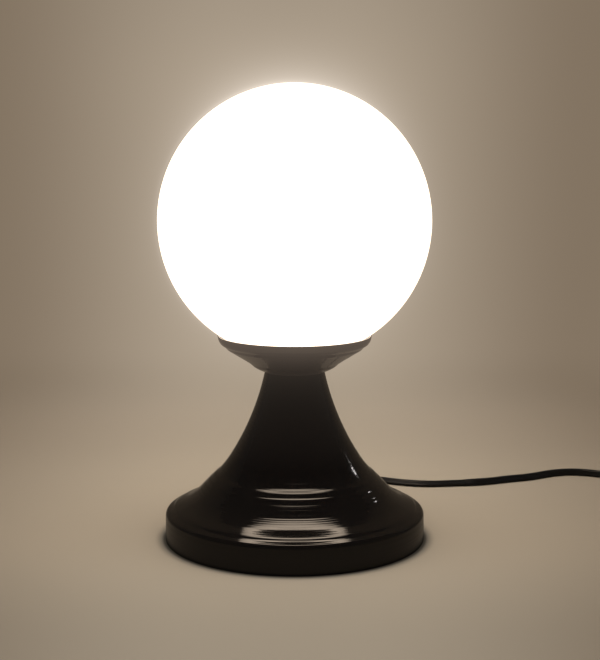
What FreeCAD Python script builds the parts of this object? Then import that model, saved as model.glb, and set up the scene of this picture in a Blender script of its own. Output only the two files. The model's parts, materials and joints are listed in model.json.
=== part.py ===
"""A globe table lamp: a spun steel trumpet stand, a spun gallery, an opal glass ball and its bulb.

Millimetres, +Z up, the origin on the table under the middle of the foot, +Y to the back, where
the flex leaves. The stand, the gallery and the lampholder are clamped on one threaded tube. The
ball stands in the gallery's lip and lifts off over the bulb.
"""

import FreeCAD
import Part
import Sketcher
import math
import os

Vector = FreeCAD.Vector
Placement = FreeCAD.Placement
Rotation = FreeCAD.Rotation

# Driving sizes, in millimetres and degrees, and counts

STAND_SIZES = [
    ("stand_height", 128.0),
    ("neck_radius", 21.4),
    ("rim_radius", 96.3),
    ("rim_height", 21.3),
    ("foot_flare", 1.4),
    ("foot_lift", 0.6),
    ("shell_wall", 1.2),
    ("trumpet_radius", 187.0),
    ("ledge_round_share", 0.0186),
    ("rim_round", 1.5),
    ("neck_round", 0.8),
    ("exit_height", 9.0),
    ("exit_hole_radius", 5.1),
]
BASE_SIZES = [
    ("felt_thick", 2.0),
    ("felt_inset", 1.2),
    ("felt_hole_radius", 4.2),
    ("cover_thick", 2.0),
    ("cover_clear", 3.5),
    ("cover_hole_radius", 1.7),
    ("wiring_gap", 7.0),
    ("weight_thick", 8.0),
    ("weight_clear", 3.8),
    ("weight_rim_width", 8.5),
    ("weight_rim_rise", 2.4),
    ("hub_radius", 26.0),
    ("hub_skirt", 6.0),
    ("hub_wall", 6.0),
    ("recess_radius", 22.0),
    ("recess_draft", 1.5),
    ("recess_height", 11.0),
    ("boss_radius", 6.0),
    ("boss_ring_inset", 32.5),
    ("boss_turn", 30.0),
    ("boss_count", 3.0),
    ("boss_hole_depth", 9.0),
    ("thread_hole_radius", 1.55),
]
SCREW_SIZES = [
    ("screw_radius", 1.5),
    ("screw_head_radius", 2.8),
    ("screw_head_thick", 1.4),
    ("cover_screw_length", 9.0),
    ("clamp_screw_length", 6.6),
]
TUBE_SIZES = [
    ("tube_radius", 5.0),
    ("tube_bore_radius", 3.75),
    ("tube_low_end", 14.5),
    ("tube_clear", 0.2),
    ("tube_top_stand_up", 9.0),
    ("nut_across_flats", 14.0),
    ("lower_nut_thick", 5.0),
    ("upper_nut_thick", 4.0),
    ("lower_washer_radius", 11.0),
    ("lower_washer_thick", 1.5),
    ("upper_washer_radius", 8.6),
    ("upper_washer_thick", 1.0),
    ("tooth_depth", 1.1),
    ("tooth_count", 14.0),
]
CLAMP_SIZES = [
    ("clamp_inset", 30.5),
    ("clamp_width", 10.0),
    ("clamp_half_length", 14.0),
    ("clamp_screw_place", 9.5),
    ("clamp_thick", 1.2),
    ("clamp_clear", 0.3),
]
FLEX_SIZES = [
    ("flex_radius", 3.1),
    ("flex_flat_thick", 3.8),
    ("flex_bend_radius", 7.0),
    ("flex_stand_up", 2.9),
    ("core_radius", 1.05),
    ("core_spread", 1.4),
    ("bore_clear", 0.05),
]
RELIEF_SIZES = [
    ("relief_flange_radius", 6.6),
    ("relief_flange_thick", 1.8),
    ("relief_collar_radius", 6.9),
    ("relief_collar_thick", 1.7),
    ("relief_neck_radius", 5.0),
    ("relief_root_radius", 5.6),
    ("relief_tip_radius", 4.1),
    ("relief_reach", 23.3),
    ("relief_clear", 0.25),
]
GALLERY_SIZES = [
    ("gallery_wall", 1.2),
    ("gallery_height", 25.5),
    ("lip_radius", 57.0),
    ("gallery_floor_radius", 20.5),
    ("cup_round", 17.5),
    ("shoulder_round", 3.0),
    ("lip_round", 0.45),
]
SPRING_SIZES = [
    ("spring_thick", 0.7),
    ("spring_disc_radius", 14.0),
    ("spring_arm_width", 10.0),
    ("spring_arm_count", 3.0),
    ("spring_clear", 0.4),
    ("spring_arm_height", 20.6),
]
GLOBE_SIZES = [
    ("globe_radius", 100.0),
    ("globe_wall", 3.0),
    ("globe_neck_radius", 38.0),
    ("globe_neck_length", 4.6),
    ("globe_seat_gap", 0.3),
    ("globe_neck_round", 1.1),
]
HOLDER_SIZES = [
    ("holder_boss_radius", 9.0),
    ("holder_boss_height", 4.5),
    ("holder_boss_wall", 1.0),
    ("holder_radius", 20.0),
    ("holder_cap_radius", 19.4),
    ("holder_cap_height", 19.0),
    ("holder_spigot_radius", 17.9),
    ("holder_spigot_height", 7.0),
    ("holder_wall", 1.6),
    ("holder_shell_step", 1.0),
    ("holder_shell_height", 36.0),
    ("holder_mouth_radius", 15.2),
    ("holder_lip_thick", 1.8),
    ("holder_clear", 0.1),
    ("insert_flange_thick", 1.4),
    ("insert_flange_width", 1.2),
    ("insert_radius", 15.9),
    ("insert_depth", 6.5),
    ("insert_rise", 2.5),
    ("insert_pocket_radius", 9.0),
    ("insert_pocket_depth", 6.5),
    ("sleeve_radius", 13.25),
    ("sleeve_wall", 0.5),
    ("sleeve_height", 22.0),
    ("knuckle_pitch", 3.63),
    ("knuckle_depth", 0.9),
    ("knuckle_swell_radius", 2.25),
    ("knuckle_count", 5.0),
    ("tongue_width", 5.0),
    ("tongue_thick", 0.5),
    ("block_place", 9.0),
    ("block_width", 6.0),
    ("block_depth", 7.0),
    ("block_height", 4.0),
    ("block_screw_radius", 1.4),
    ("block_head_radius", 2.0),
    ("block_head_thick", 1.8),
    ("lock_screw_radius", 1.2),
    ("lock_screw_clear", 0.05),
]
BULB_SIZES = [
    ("bulb_length", 110.0),
    ("bulb_radius", 30.0),
    ("bulb_seat", 0.3),
    ("bulb_contact_radius", 4.5),
    ("bulb_contact_thick", 1.8),
    ("bulb_insulator_radius", 10.5),
    ("bulb_insulator_height", 4.0),
    ("bulb_thread_radius", 13.15),
    ("bulb_thread_depth", 0.95),
    ("bulb_cap_wall", 0.6),
    ("bulb_cap_height", 22.0),
    ("housing_height", 45.0),
    ("housing_rim_drop", 8.0),
    ("housing_wall", 1.6),
    ("housing_swell", 60.0),
    ("diffuser_wall", 1.4),
    ("board_thick", 1.5),
    ("led_count", 12.0),
    ("led_ring_radius", 19.0),
    ("led_size", 3.0),
    ("led_thick", 0.7),
    ("driver_width", 16.0),
    ("driver_height", 36.0),
    ("driver_part_radius", 4.0),
    ("driver_part_height", 12.0),
]
SWITCH_SIZES = [
    ("switch_x", 318.0),
    ("switch_back", 71.0),
    ("switch_length", 60.0),
    ("switch_straight", 36.0),
    ("switch_width", 27.0),
    ("switch_end_width", 15.0),
    ("switch_height", 16.0),
    ("switch_parting", 7.5),
    ("switch_wall", 1.8),
    ("nozzle_length", 12.0),
    ("nozzle_half_width", 5.0),
    ("window_half_width", 6.5),
    ("window_half_length", 12.0),
    ("rocker_half_width", 6.2),
    ("rocker_half_length", 10.4),
    ("rocker_pivot_height", 11.0),
    ("rocker_top_rise", 4.3),
    ("rocker_bottom_drop", 1.8),
    ("rocker_tilt", 8.0),
    ("pivot_radius", 1.4),
    ("pivot_clear", 0.05),
    ("ear_thick", 1.8),
    ("ear_gap", 0.7),
    ("ear_half_width", 3.5),
    ("contact_half_width", 2.0),
    ("contact_place", 7.0),
    ("contact_half_length", 1.5),
    ("contact_gap", 0.3),
    ("bridge_thick", 0.8),
    ("bridge_half_length", 7.6),
    ("switch_screw_x", 9.0),
    ("switch_screw_y", 14.0),
    ("switch_boss_radius", 3.0),
    ("switch_screw_length", 10.2),
    ("switch_screw_sink", 0.3),
]
COIL_SIZES = [
    ("coil_inner_radius", 27.7),
    ("coil_pitch", 6.8),
    ("coil_lift", 1.1),
    ("coil_lead", 6.2),
    ("coil_quarter_turns", 22.0),
    ("tie_width", 8.0),
    ("tie_thick", 0.8),
    ("tie_side_clear", 1.1),
]
PLUG_SIZES = [
    ("plug_length", 37.0),
    ("plug_half_width", 17.65),
    ("plug_flat_half_width", 11.5),
    ("plug_half_height", 6.85),
    ("plug_end_half_width", 6.5),
    ("plug_taper_length", 26.0),
    ("plug_nozzle_length", 12.0),
    ("plug_nozzle_radius", 5.4),
    ("plug_nozzle_tip_radius", 4.2),
    ("pin_radius", 2.0),
    ("pin_length", 19.0),
    ("pin_root_length", 8.0),
    ("pin_half_spacing", 9.3),
    ("pin_round", 0.8),
    ("pin_clear", 0.02),
    ("plug_reach", 75.8),
    ("plug_axis_height", 7.0),
]
OTHER_SIZES = [
    ("overrun", 1.0),
]
SIZE_TABLES = [
    STAND_SIZES,
    BASE_SIZES,
    SCREW_SIZES,
    TUBE_SIZES,
    CLAMP_SIZES,
    FLEX_SIZES,
    RELIEF_SIZES,
    GALLERY_SIZES,
    SPRING_SIZES,
    GLOBE_SIZES,
    HOLDER_SIZES,
    BULB_SIZES,
    SWITCH_SIZES,
    COIL_SIZES,
    PLUG_SIZES,
    OTHER_SIZES,
]

# The foot's ledges from the trumpet's end outward, as shares of the rim radius and of the stand's height

LEDGE_SHARES = [
    (0.514, 0.4742),
    (0.5836, 0.4078),
    (0.6366, 0.3789),
    (0.648, 0.3664),
    (0.677, 0.35),
    (0.6906, 0.3359),
    (0.7186, 0.3195),
    (0.7684, 0.2781),
    (0.7726, 0.2664),
    (0.8339, 0.2328),
]

# The gallery's outside from the lip to the cup, as shares of the lip radius and of its height

GALLERY_SHARES = [
    (0.979, 0.855),
    (0.9579, 0.7922),
    (0.8947, 0.702),
    (0.8684, 0.6235),
    (0.5842, 0.2196),
]

# A spring arm's upper face, as shares of the globe's neck bore and of the arm's height

SPRING_ARM_SHARES = [
    (0.314, 0.0),
    (0.543, 0.0),
    (0.823, 0.296),
    (0.943, 0.54),
    (0.9685, 0.665),
    (0.96, 0.83),
    (0.9, 1.0),
]

# The free flex from the strain relief's end to the switch: x, y beyond that end, and the share of
# the drop from the height of the relief, or at the far end of the switch, down to the table

FLEX_ROUTE = [
    (0.0, 0.0, 1.0),
    (0.0, 16.5, 1.0),
    (7.3, 31.8, 0.627),
    (20.5, 42.5, 0.22),
    (38.0, 46.7, 0.0),
    (63.4, 40.6, 0.0),
    (88.0, 27.0, 0.0),
    (112.0, 20.5, 0.0),
    (140.0, 25.0, 0.0),
    (160.0, 25.5, 0.0),
    (185.0, 37.5, 0.0),
    (203.0, 43.0, 0.0),
    (223.0, 55.8, 0.0),
    (241.0, 61.5, 0.0),
    (259.0, 58.0, 0.0),
    (279.0, 46.0, 0.0),
]
SWITCH_ROUTE = [
    (297.0, 30.0, 0.0),
    (311.0, 10.0, 0.11),
    (318.0, -10.0, 1.0),
    (318.0, -29.0, 1.0),
]

# From the switch's other end to the coil: y beyond that end, and the share of the drop

LINK_ROUTE = [
    (0.0, 1.0),
    (-14.0, 1.0),
    (-28.0, 0.0),
    (-41.8, 0.0),
]


class Size:
    """A length, angle or count: its number, and the sheet expression that gives it."""

    def __init__(self, value, text):
        self.value = float(value)
        self.text = text

    def join(self, other, sign, value):
        return Size(value, f"({self.text} {sign} {as_size(other).text})")

    def __add__(self, other):
        return self.join(other, "+", self.value + as_size(other).value)

    def __radd__(self, other):
        return as_size(other) + self

    def __sub__(self, other):
        return self.join(other, "-", self.value - as_size(other).value)

    def __rsub__(self, other):
        return as_size(other) - self

    def __mul__(self, other):
        return self.join(other, "*", self.value * as_size(other).value)

    def __rmul__(self, other):
        return self * other

    def __truediv__(self, other):
        return self.join(other, "/", self.value / as_size(other).value)

    def __neg__(self):
        return as_size(0) - self


def as_size(item):
    return item if isinstance(item, Size) else Size(item, f"{float(item):.9f}")


def root(item):
    return Size(math.sqrt(item.value), f"sqrt({item.text})")


class Sizes:
    """The named sizes, one attribute each."""


document = FreeCAD.newDocument("globe_table_lamp")
sheet = document.addObject("Spreadsheet::Sheet", "Sizes")
s = Sizes()
row = 0
for table in SIZE_TABLES:
    for alias, number in table:
        row += 1
        sheet.set(f"A{row}", alias)
        sheet.set(f"B{row}", str(number))
        sheet.setAlias(f"B{row}", alias)
        setattr(s, alias, Size(number, f"Sizes.{alias}"))
document.recompute()

NODES = []


def keep(item, label):
    item.Label = label
    NODES.append(item)
    return item


def bind(item, **wanted):
    """Ties properties of an object to sizes; two underscores in a name stand for a dot."""
    for name, size in wanted.items():
        size = as_size(size)
        if name.startswith("Placement__"):
            item.setExpression("." + name.replace("__", "."), size.text)
        else:
            setattr(item, name, size.value)
            item.setExpression(name, size.text)


# Sketches and the features made from them


def new_body(label):
    return keep(document.addObject("PartDesign::Body", label), label)


def origin_plane(body, role):
    return [f for f in body.Origin.OriginFeatures if f.Role == role][0]


def new_sketch(body, name, role, level=None):
    sketch = body.newObject("Sketcher::SketchObject", f"{body.Name}_{name}")
    sketch.AttachmentSupport = [(origin_plane(body, role), "")]
    sketch.MapMode = "FlatFace"
    if level is not None:
        level = as_size(level)
        sketch.AttachmentOffset = Placement(Vector(0, 0, level.value), Rotation())
        sketch.setExpression("AttachmentOffset.Base.z", level.text)
    return sketch


def pin_point(sketch, edge, end, across, up):
    """Fixes one point of a sketch by its two distances from the sketch's origin."""
    for size, axis, kind in ((across, -2, "DistanceX"), (up, -1, "DistanceY")):
        size = as_size(size)
        if size.value == 0:
            sketch.addConstraint(Sketcher.Constraint("PointOnObject", edge, end, axis))
            continue
        index = sketch.addConstraint(Sketcher.Constraint(kind, -1, 1, edge, end, size.value))
        sketch.setExpression(f"Constraints[{index}]", size.text)


def add_arc(sketch, start, end, radius):
    """An arc of less than a half circle; a positive radius turns left on the way to its end."""
    chord = end - start
    half = chord.Length / 2
    left = Vector(-chord.y, chord.x, 0).normalize()
    reach = math.sqrt(max(radius.value ** 2 - half ** 2, 0))
    side = 1 if radius.value > 0 else -1
    centre = (start + end) / 2 + left * (side * reach)
    angles = [math.atan2(p.y - centre.y, p.x - centre.x) for p in (start, end)]
    if side < 0:
        angles.reverse()
    if angles[1] < angles[0]:
        angles[1] += 2 * math.pi
    circle = Part.Circle(centre, Vector(0, 0, 1), abs(radius.value))
    index = sketch.addGeometry(Part.ArcOfCircle(circle, *angles), False)
    return index, (1, 2) if side > 0 else (2, 1)


def draw_loop(sketch, points):
    """A closed outline. A point is (across, up) or (across, up, radius of the arc to the next)."""
    spots = [Vector(as_size(p[0]).value, as_size(p[1]).value, 0) for p in points]
    edges = []
    for i, point in enumerate(points):
        start, end = spots[i], spots[(i + 1) % len(points)]
        if len(point) > 2:
            index, ends = add_arc(sketch, start, end, point[2])
        else:
            index, ends = sketch.addGeometry(Part.LineSegment(start, end), False), (1, 2)
        edges.append((index, ends))
    for i, point in enumerate(points):
        index, ends = edges[i]
        after, after_ends = edges[(i + 1) % len(points)]
        sketch.addConstraint(Sketcher.Constraint("Coincident", index, ends[1], after, after_ends[0]))
        pin_point(sketch, index, ends[0], point[0], point[1])
        if len(point) > 2:
            size = point[2] if point[2].value > 0 else -point[2]
            number = sketch.addConstraint(Sketcher.Constraint("Radius", index, size.value))
            sketch.setExpression(f"Constraints[{number}]", size.text)


def draw_circle(sketch, radius, across=0, up=0):
    radius, across, up = as_size(radius), as_size(across), as_size(up)
    circle = Part.Circle(Vector(across.value, up.value, 0), Vector(0, 0, 1), radius.value)
    index = sketch.addGeometry(circle, False)
    number = sketch.addConstraint(Sketcher.Constraint("Radius", index, radius.value))
    sketch.setExpression(f"Constraints[{number}]", radius.text)
    pin_point(sketch, index, 3, across, up)


def rectangle(low_across, low_up, high_across, high_up):
    return [
        (low_across, low_up),
        (high_across, low_up),
        (high_across, high_up),
        (low_across, high_up),
    ]


def hexagon(across_flats):
    corners = []
    for k in range(6):
        angle = math.radians(60 * k)
        reach = across_flats * (1 / math.sqrt(3))
        corners.append((reach * math.cos(angle), reach * math.sin(angle)))
    return corners


def inset(points, wall):
    """The other face of a wall of even thickness, to the right of an open outline, in reverse."""
    spots = [Vector(as_size(p[0]).value, as_size(p[1]).value, 0) for p in points]
    headings = []
    for i in range(len(points) - 1):
        chord = spots[i + 1] - spots[i]
        angle = math.atan2(chord.y, chord.x)
        half = 0
        if len(points[i]) > 2:
            half = math.asin(chord.Length / 2 / points[i][2].value)
        headings.append((angle - half, angle + half))
    moved = []
    for i, point in enumerate(points):
        before = headings[i - 1][1] if i else headings[0][0]
        after = headings[i][0] if i < len(headings) else headings[-1][1]
        middle = (before + after) / 2
        reach = wall / math.cos((after - before) / 2)
        moved.append((point[0] + reach * math.sin(middle), point[1] - reach * math.cos(middle)))
    back = []
    for i in range(len(points) - 1, -1, -1):
        step = moved[i]
        if i and len(points[i - 1]) > 2:
            step = (*moved[i], -(points[i - 1][2] + wall))
        back.append(step)
    return back


def turn_outline(body, points, plane="XZ_Plane", axis="V_Axis", name="outline"):
    sketch = new_sketch(body, name, plane)
    draw_loop(sketch, points)
    turn = body.newObject("PartDesign::Revolution", f"{body.Name}_{name}_turn")
    turn.Profile = (sketch, [""])
    turn.ReferenceAxis = (sketch, [axis])
    turn.Angle = 360
    document.recompute()
    return turn


def turned(label, points, plane="XZ_Plane"):
    body = new_body(label)
    turn_outline(body, points, plane)
    return body


def pad(body, name, role, level, loops, length, reverse=False, middle=False):
    """Adds a prism. A loop is a list of points, or (radius, across, up) for a circle."""
    sketch = new_sketch(body, name, role, level)
    for loop in loops:
        if isinstance(loop, tuple):
            draw_circle(sketch, *loop)
        else:
            draw_loop(sketch, loop)
    feature = body.newObject("PartDesign::Pad", f"{body.Name}_{name}_pad")
    feature.Profile = (sketch, [""])
    bind(feature, Length=length)
    feature.Reversed = reverse
    feature.Midplane = middle
    document.recompute()
    return feature


def pocket(body, name, role, level, loops, length, reverse=False, middle=False):
    """Cuts a prism, and makes sure that it cut something."""
    before = body.Shape.Volume
    sketch = new_sketch(body, name, role, level)
    for loop in loops:
        if isinstance(loop, tuple):
            draw_circle(sketch, *loop)
        else:
            draw_loop(sketch, loop)
    feature = body.newObject("PartDesign::Pocket", f"{body.Name}_{name}_pocket")
    feature.Profile = (sketch, [""])
    bind(feature, Length=length)
    feature.Reversed = reverse
    feature.Midplane = middle
    document.recompute()
    if not body.Shape.Volume < before:
        raise ValueError(f"the pocket {name} in {body.Label} cuts nothing")
    return feature


def ring_pattern(body, name, features, count):
    pattern = body.newObject("PartDesign::PolarPattern", f"{body.Name}_{name}_ring")
    pattern.Originals = features
    pattern.Axis = (origin_axis(body), [""])
    pattern.Angle = 360
    pattern.Occurrences = round(count.value)
    pattern.setExpression("Occurrences", count.text)
    body.Tip = pattern
    document.recompute()
    return pattern


def origin_axis(body):
    return origin_plane(body, "Z_Axis")


def round_rings(body, name, rings, radius):
    """Rounds the circular edges that lie at the given radii and heights."""
    tip = body.Tip
    chosen = []
    for number, edge in enumerate(tip.Shape.Edges, 1):
        if edge.Degenerated or not isinstance(edge.Curve, Part.Circle):
            continue
        for ring in rings:
            off = abs(edge.Curve.Radius - as_size(ring[0]).value)
            if off < 0.01 and abs(edge.Curve.Center.z - as_size(ring[1]).value) < 0.01:
                chosen.append(f"Edge{number}")
    fillet = body.newObject("PartDesign::Fillet", f"{body.Name}_{name}")
    fillet.Base = (tip, chosen)
    bind(fillet, Radius=radius)
    document.recompute()
    return fillet


# Tubes along a route of straight runs and tangent arcs, and the coil


def route_wire(points, closest=0):
    """Straight runs joined by arcs that use 0.45 of the shorter run; gives the wire and radii."""
    run_share = 0.45
    spots = [Vector(*p) for p in points]
    edges, radii = [], []
    at = spots[0]
    for i in range(1, len(spots) - 1):
        back, on = spots[i] - spots[i - 1], spots[i + 1] - spots[i]
        turn = back.getAngle(on)
        reach = run_share * min(back.Length, on.Length)
        start = spots[i] - back.normalize() * reach
        end = spots[i] + on.normalize() * reach
        radius = reach / math.tan(turn / 2)
        radii.append(radius)
        sagitta = (spots[i] - (start + end) / 2).normalize()
        depth = radius * (1 - math.cos(turn / 2))
        middle = (start + end) / 2 + sagitta * depth
        edges.append(Part.LineSegment(at, start).toShape())
        edges.append(Part.Arc(start, middle, end).toShape())
        at = end
    edges.append(Part.LineSegment(at, spots[-1]).toShape())
    if min(radii) < closest:
        print("a bend of radius", round(min(radii), 1), "is closer than", closest)
    return Part.Wire(edges), radii


def swept(wire, section):
    """One solid along the wire, from a section that lies square to its start."""
    shell = Part.BRepOffsetAPI.MakePipeShell(wire)
    shell.add(section)
    shell.build()
    shell.makeSolid()
    return shell.shape()


def round_section(wire, radius):
    start = wire.Edges[0]
    heading = start.tangentAt(start.FirstParameter)
    circle = Part.Circle(start.valueAt(start.FirstParameter), heading, radius)
    return Part.Wire(circle.toShape())


def tube_node(label, wire, radius):
    node = keep(document.addObject("Part::Feature", label), label)
    node.Shape = swept(wire, round_section(wire, radius))
    node.Placement = Placement()
    wanted = math.pi * radius ** 2 * wire.Length
    share = node.Shape.Volume / wanted
    print(f"{label}: length {wire.Length:.1f}, volume over section times length {share:.4f}")
    return node


def part_solid(kind, name, place, **wanted):
    """A primitive whose sizes and place are tied to the sheet."""
    item = document.addObject(f"Part::{kind}", name)
    bind(item, **wanted)
    item.Placement.Base = Vector(*(as_size(p).value for p in place))
    for axis, size in zip("xyz", place):
        item.setExpression(f".Placement.Base.{axis}", as_size(size).text)
    return item


def joined(label, members):
    """Several separate solids in one node."""
    group = keep(document.addObject("Part::Compound", label), label)
    group.Links = members
    return group


def fused(name, members):
    item = document.addObject("Part::MultiFuse", name)
    item.Shapes = members
    return item


def upright_screws(label, places, head_low, length, head_radius=None):
    """Pan-head screws that point up: a head, and a shank from the head's top."""
    head_radius = head_radius or s.screw_head_radius
    made = []
    for k, (x, y) in enumerate(places):
        head = part_solid(
            "Cylinder",
            f"{label}_head_{k}",
            (x, y, head_low),
            Radius=head_radius,
            Height=s.screw_head_thick,
        )
        shank = part_solid(
            "Cylinder",
            f"{label}_shank_{k}",
            (x, y, head_low + s.screw_head_thick),
            Radius=s.screw_radius,
            Height=length,
        )
        made.append(fused(f"{label}_{k}", [head, shank]))
    return joined(label, made)


# Sizes that several pieces share

foot_radius = s.rim_radius + s.foot_flare
weight_radius = s.rim_radius - s.weight_clear
cover_radius = s.rim_radius - s.cover_clear
felt_radius = cover_radius - s.felt_inset
boss_ring_radius = weight_radius - s.boss_ring_inset
clamp_place = weight_radius - s.clamp_inset
relief_end = foot_radius + s.relief_reach
switch_y = relief_end - s.switch_back
cover_low = s.felt_thick
cover_top = cover_low + s.cover_thick
weight_low = cover_top + s.wiring_gap
weight_top = weight_low + s.weight_thick
recess_top = weight_low + s.recess_height
hub_top = recess_top + s.hub_wall
tube_hole_radius = s.tube_radius + s.tube_clear
floor_top = s.stand_height + s.gallery_wall
spring_top = floor_top + s.spring_thick
upper_nut_low = spring_top + s.upper_washer_thick
upper_nut_top = upper_nut_low + s.upper_nut_thick
holder_low = upper_nut_top + s.holder_clear
tube_top = holder_low + s.tube_top_stand_up
cap_shoulder = holder_low + s.holder_cap_height
spigot_top = cap_shoulder + s.holder_spigot_height
flange_low = spigot_top + s.holder_clear
flange_top = flange_low + s.insert_flange_thick
shell_low = cap_shoulder + s.holder_clear
shell_top = shell_low + s.holder_shell_height
insert_low = flange_low - s.insert_depth
insert_top = flange_top + s.insert_rise
pocket_floor = insert_top - s.insert_pocket_depth
flex_top = tube_top + s.flex_stand_up
bore_radius = s.flex_radius + s.bore_clear


# The stand


def stand_outline():
    outer = [
        (tube_hole_radius, s.stand_height),
        (s.neck_radius, s.stand_height, s.trumpet_radius),
    ]
    for across, up in LEDGE_SHARES:
        outer.append((s.rim_radius * across, s.stand_height * up))
    outer.append((s.rim_radius, s.rim_height))
    outer.append((foot_radius, s.foot_lift))
    return outer


def make_stand_shell():
    outer = stand_outline()
    body = turned("stand_shell", outer + inset(outer, s.shell_wall))
    ledges = [point[:2] for point in outer[2:-2]]
    round_rings(body, "ledge_rounds", ledges, s.stand_height * s.ledge_round_share)
    round_rings(body, "rim_round", [outer[-2]], s.rim_round)
    round_rings(body, "neck_round", [outer[1][:2]], s.neck_round)
    hole = (s.exit_hole_radius, 0, s.exit_height)
    pocket(body, "exit", "XZ_Plane", 0, [hole], foot_radius + s.overrun)
    if body.Shape.CenterOfGravity.y > 0:
        raise ValueError("the flex hole is not at the back")


def boss_places():
    places = []
    for k in range(round(s.boss_count.value)):
        angle = math.radians(s.boss_turn.value + 360 * k / s.boss_count.value)
        places.append((boss_ring_radius * math.cos(angle), boss_ring_radius * math.sin(angle)))
    return places


def make_base_weight():
    rim_inside = weight_radius - s.weight_rim_width
    rim_top = weight_top + s.weight_rim_rise
    body = turned(
        "base_weight",
        [
            (tube_hole_radius, hub_top),
            (s.hub_radius, hub_top),
            (s.hub_radius + s.hub_skirt, weight_top),
            (rim_inside - s.weight_rim_rise, weight_top),
            (rim_inside, rim_top),
            (weight_radius, rim_top),
            (weight_radius, weight_low),
            (s.recess_radius + s.recess_draft, weight_low),
            (s.recess_radius, recess_top),
            (tube_hole_radius, recess_top),
        ],
    )
    x, y = boss_places()[0]
    boss = pad(body, "boss", "XY_Plane", weight_low, [(s.boss_radius, x, y)], s.wiring_gap, reverse=True)
    ring_pattern(body, "boss", [boss], s.boss_count)
    hole = pocket(
        body,
        "boss_hole",
        "XY_Plane",
        cover_top,
        [(s.thread_hole_radius, x, y)],
        s.boss_hole_depth,
        reverse=True,
    )
    ring_pattern(body, "boss_hole", [hole], s.boss_count)
    clamp_holes = [(s.thread_hole_radius, s.clamp_screw_place * side, clamp_place) for side in (-1, 1)]
    pocket(body, "clamp_holes", "XY_Plane", weight_low, clamp_holes, s.clamp_screw_length, reverse=True)


def make_base_cover():
    body = new_body("base_cover")
    pad(body, "disc", "XY_Plane", cover_low, [(cover_radius, 0, 0)], s.cover_thick)
    x, y = boss_places()[0]
    hole = pocket(
        body,
        "hole",
        "XY_Plane",
        cover_low,
        [(s.cover_hole_radius, x, y)],
        s.cover_thick,
        reverse=True,
    )
    ring_pattern(body, "hole", [hole], s.boss_count)


def make_base_felt():
    body = new_body("base_felt")
    pad(body, "disc", "XY_Plane", 0, [(felt_radius, 0, 0)], s.felt_thick)
    x, y = boss_places()[0]
    hole = pocket(body, "hole", "XY_Plane", 0, [(s.felt_hole_radius, x, y)], s.felt_thick, reverse=True)
    ring_pattern(body, "hole", [hole], s.boss_count)


def make_cover_screws():
    head_low = cover_low - s.screw_head_thick
    upright_screws("cover_screws", boss_places(), head_low, s.cover_screw_length)


# The threaded tube and what is clamped on it


def ring_points(inside, outside, low, high):
    return rectangle(inside, low, outside, high)


def make_support_tube():
    turned("support_tube", ring_points(s.tube_bore_radius, s.tube_radius, s.tube_low_end, tube_top))


def make_nut(label, low, thick):
    body = new_body(label)
    loops = [hexagon(s.nut_across_flats), (s.tube_radius + s.bore_clear, 0, 0)]
    pad(body, "hexagon", "XY_Plane", low, loops, thick)


def make_lower_washer():
    inside = s.tube_radius + s.tube_clear
    low = recess_top - s.lower_washer_thick
    turned("lower_washer", ring_points(inside, s.lower_washer_radius, low, recess_top))


def make_upper_washer():
    inside = s.tube_radius + s.tube_clear
    body = turned("upper_washer", ring_points(inside, s.upper_washer_radius, spring_top, upper_nut_low))
    notch_half = s.tooth_depth / 2
    notch = rectangle(
        s.upper_washer_radius - s.tooth_depth,
        -notch_half,
        s.upper_washer_radius + s.overrun,
        notch_half,
    )
    cut = pocket(body, "notch", "XY_Plane", spring_top, [notch], s.upper_washer_thick, reverse=True)
    ring_pattern(body, "notch", [cut], s.tooth_count)


# The flex inside the stand and its clamp


def make_cord_clamp():
    half = s.flex_radius + s.clamp_clear + s.clamp_clear
    inner_low = s.exit_height - s.flex_flat_thick / 2 - s.clamp_clear
    outer_half = half + s.clamp_thick
    foot_low = weight_low - s.clamp_thick
    outer_low = inner_low - s.clamp_thick
    points = [
        (-s.clamp_half_length, weight_low),
        (-half, weight_low),
        (-half, inner_low),
        (half, inner_low),
        (half, weight_low),
        (s.clamp_half_length, weight_low),
        (s.clamp_half_length, foot_low),
        (outer_half, foot_low),
        (outer_half, outer_low),
        (-outer_half, outer_low),
        (-outer_half, foot_low),
        (-s.clamp_half_length, foot_low),
    ]
    body = new_body("cord_clamp")
    pad(body, "saddle", "XZ_Plane", -clamp_place, [points], s.clamp_width, middle=True)
    holes = [(s.cover_hole_radius, s.clamp_screw_place * side, clamp_place) for side in (-1, 1)]
    pocket(body, "holes", "XY_Plane", foot_low, holes, s.clamp_thick, reverse=True)


def make_clamp_screws():
    places = [(s.clamp_screw_place * side, clamp_place) for side in (-1, 1)]
    head_low = weight_low - s.clamp_thick - s.screw_head_thick
    upright_screws("clamp_screws", places, head_low, s.clamp_screw_length)


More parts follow.
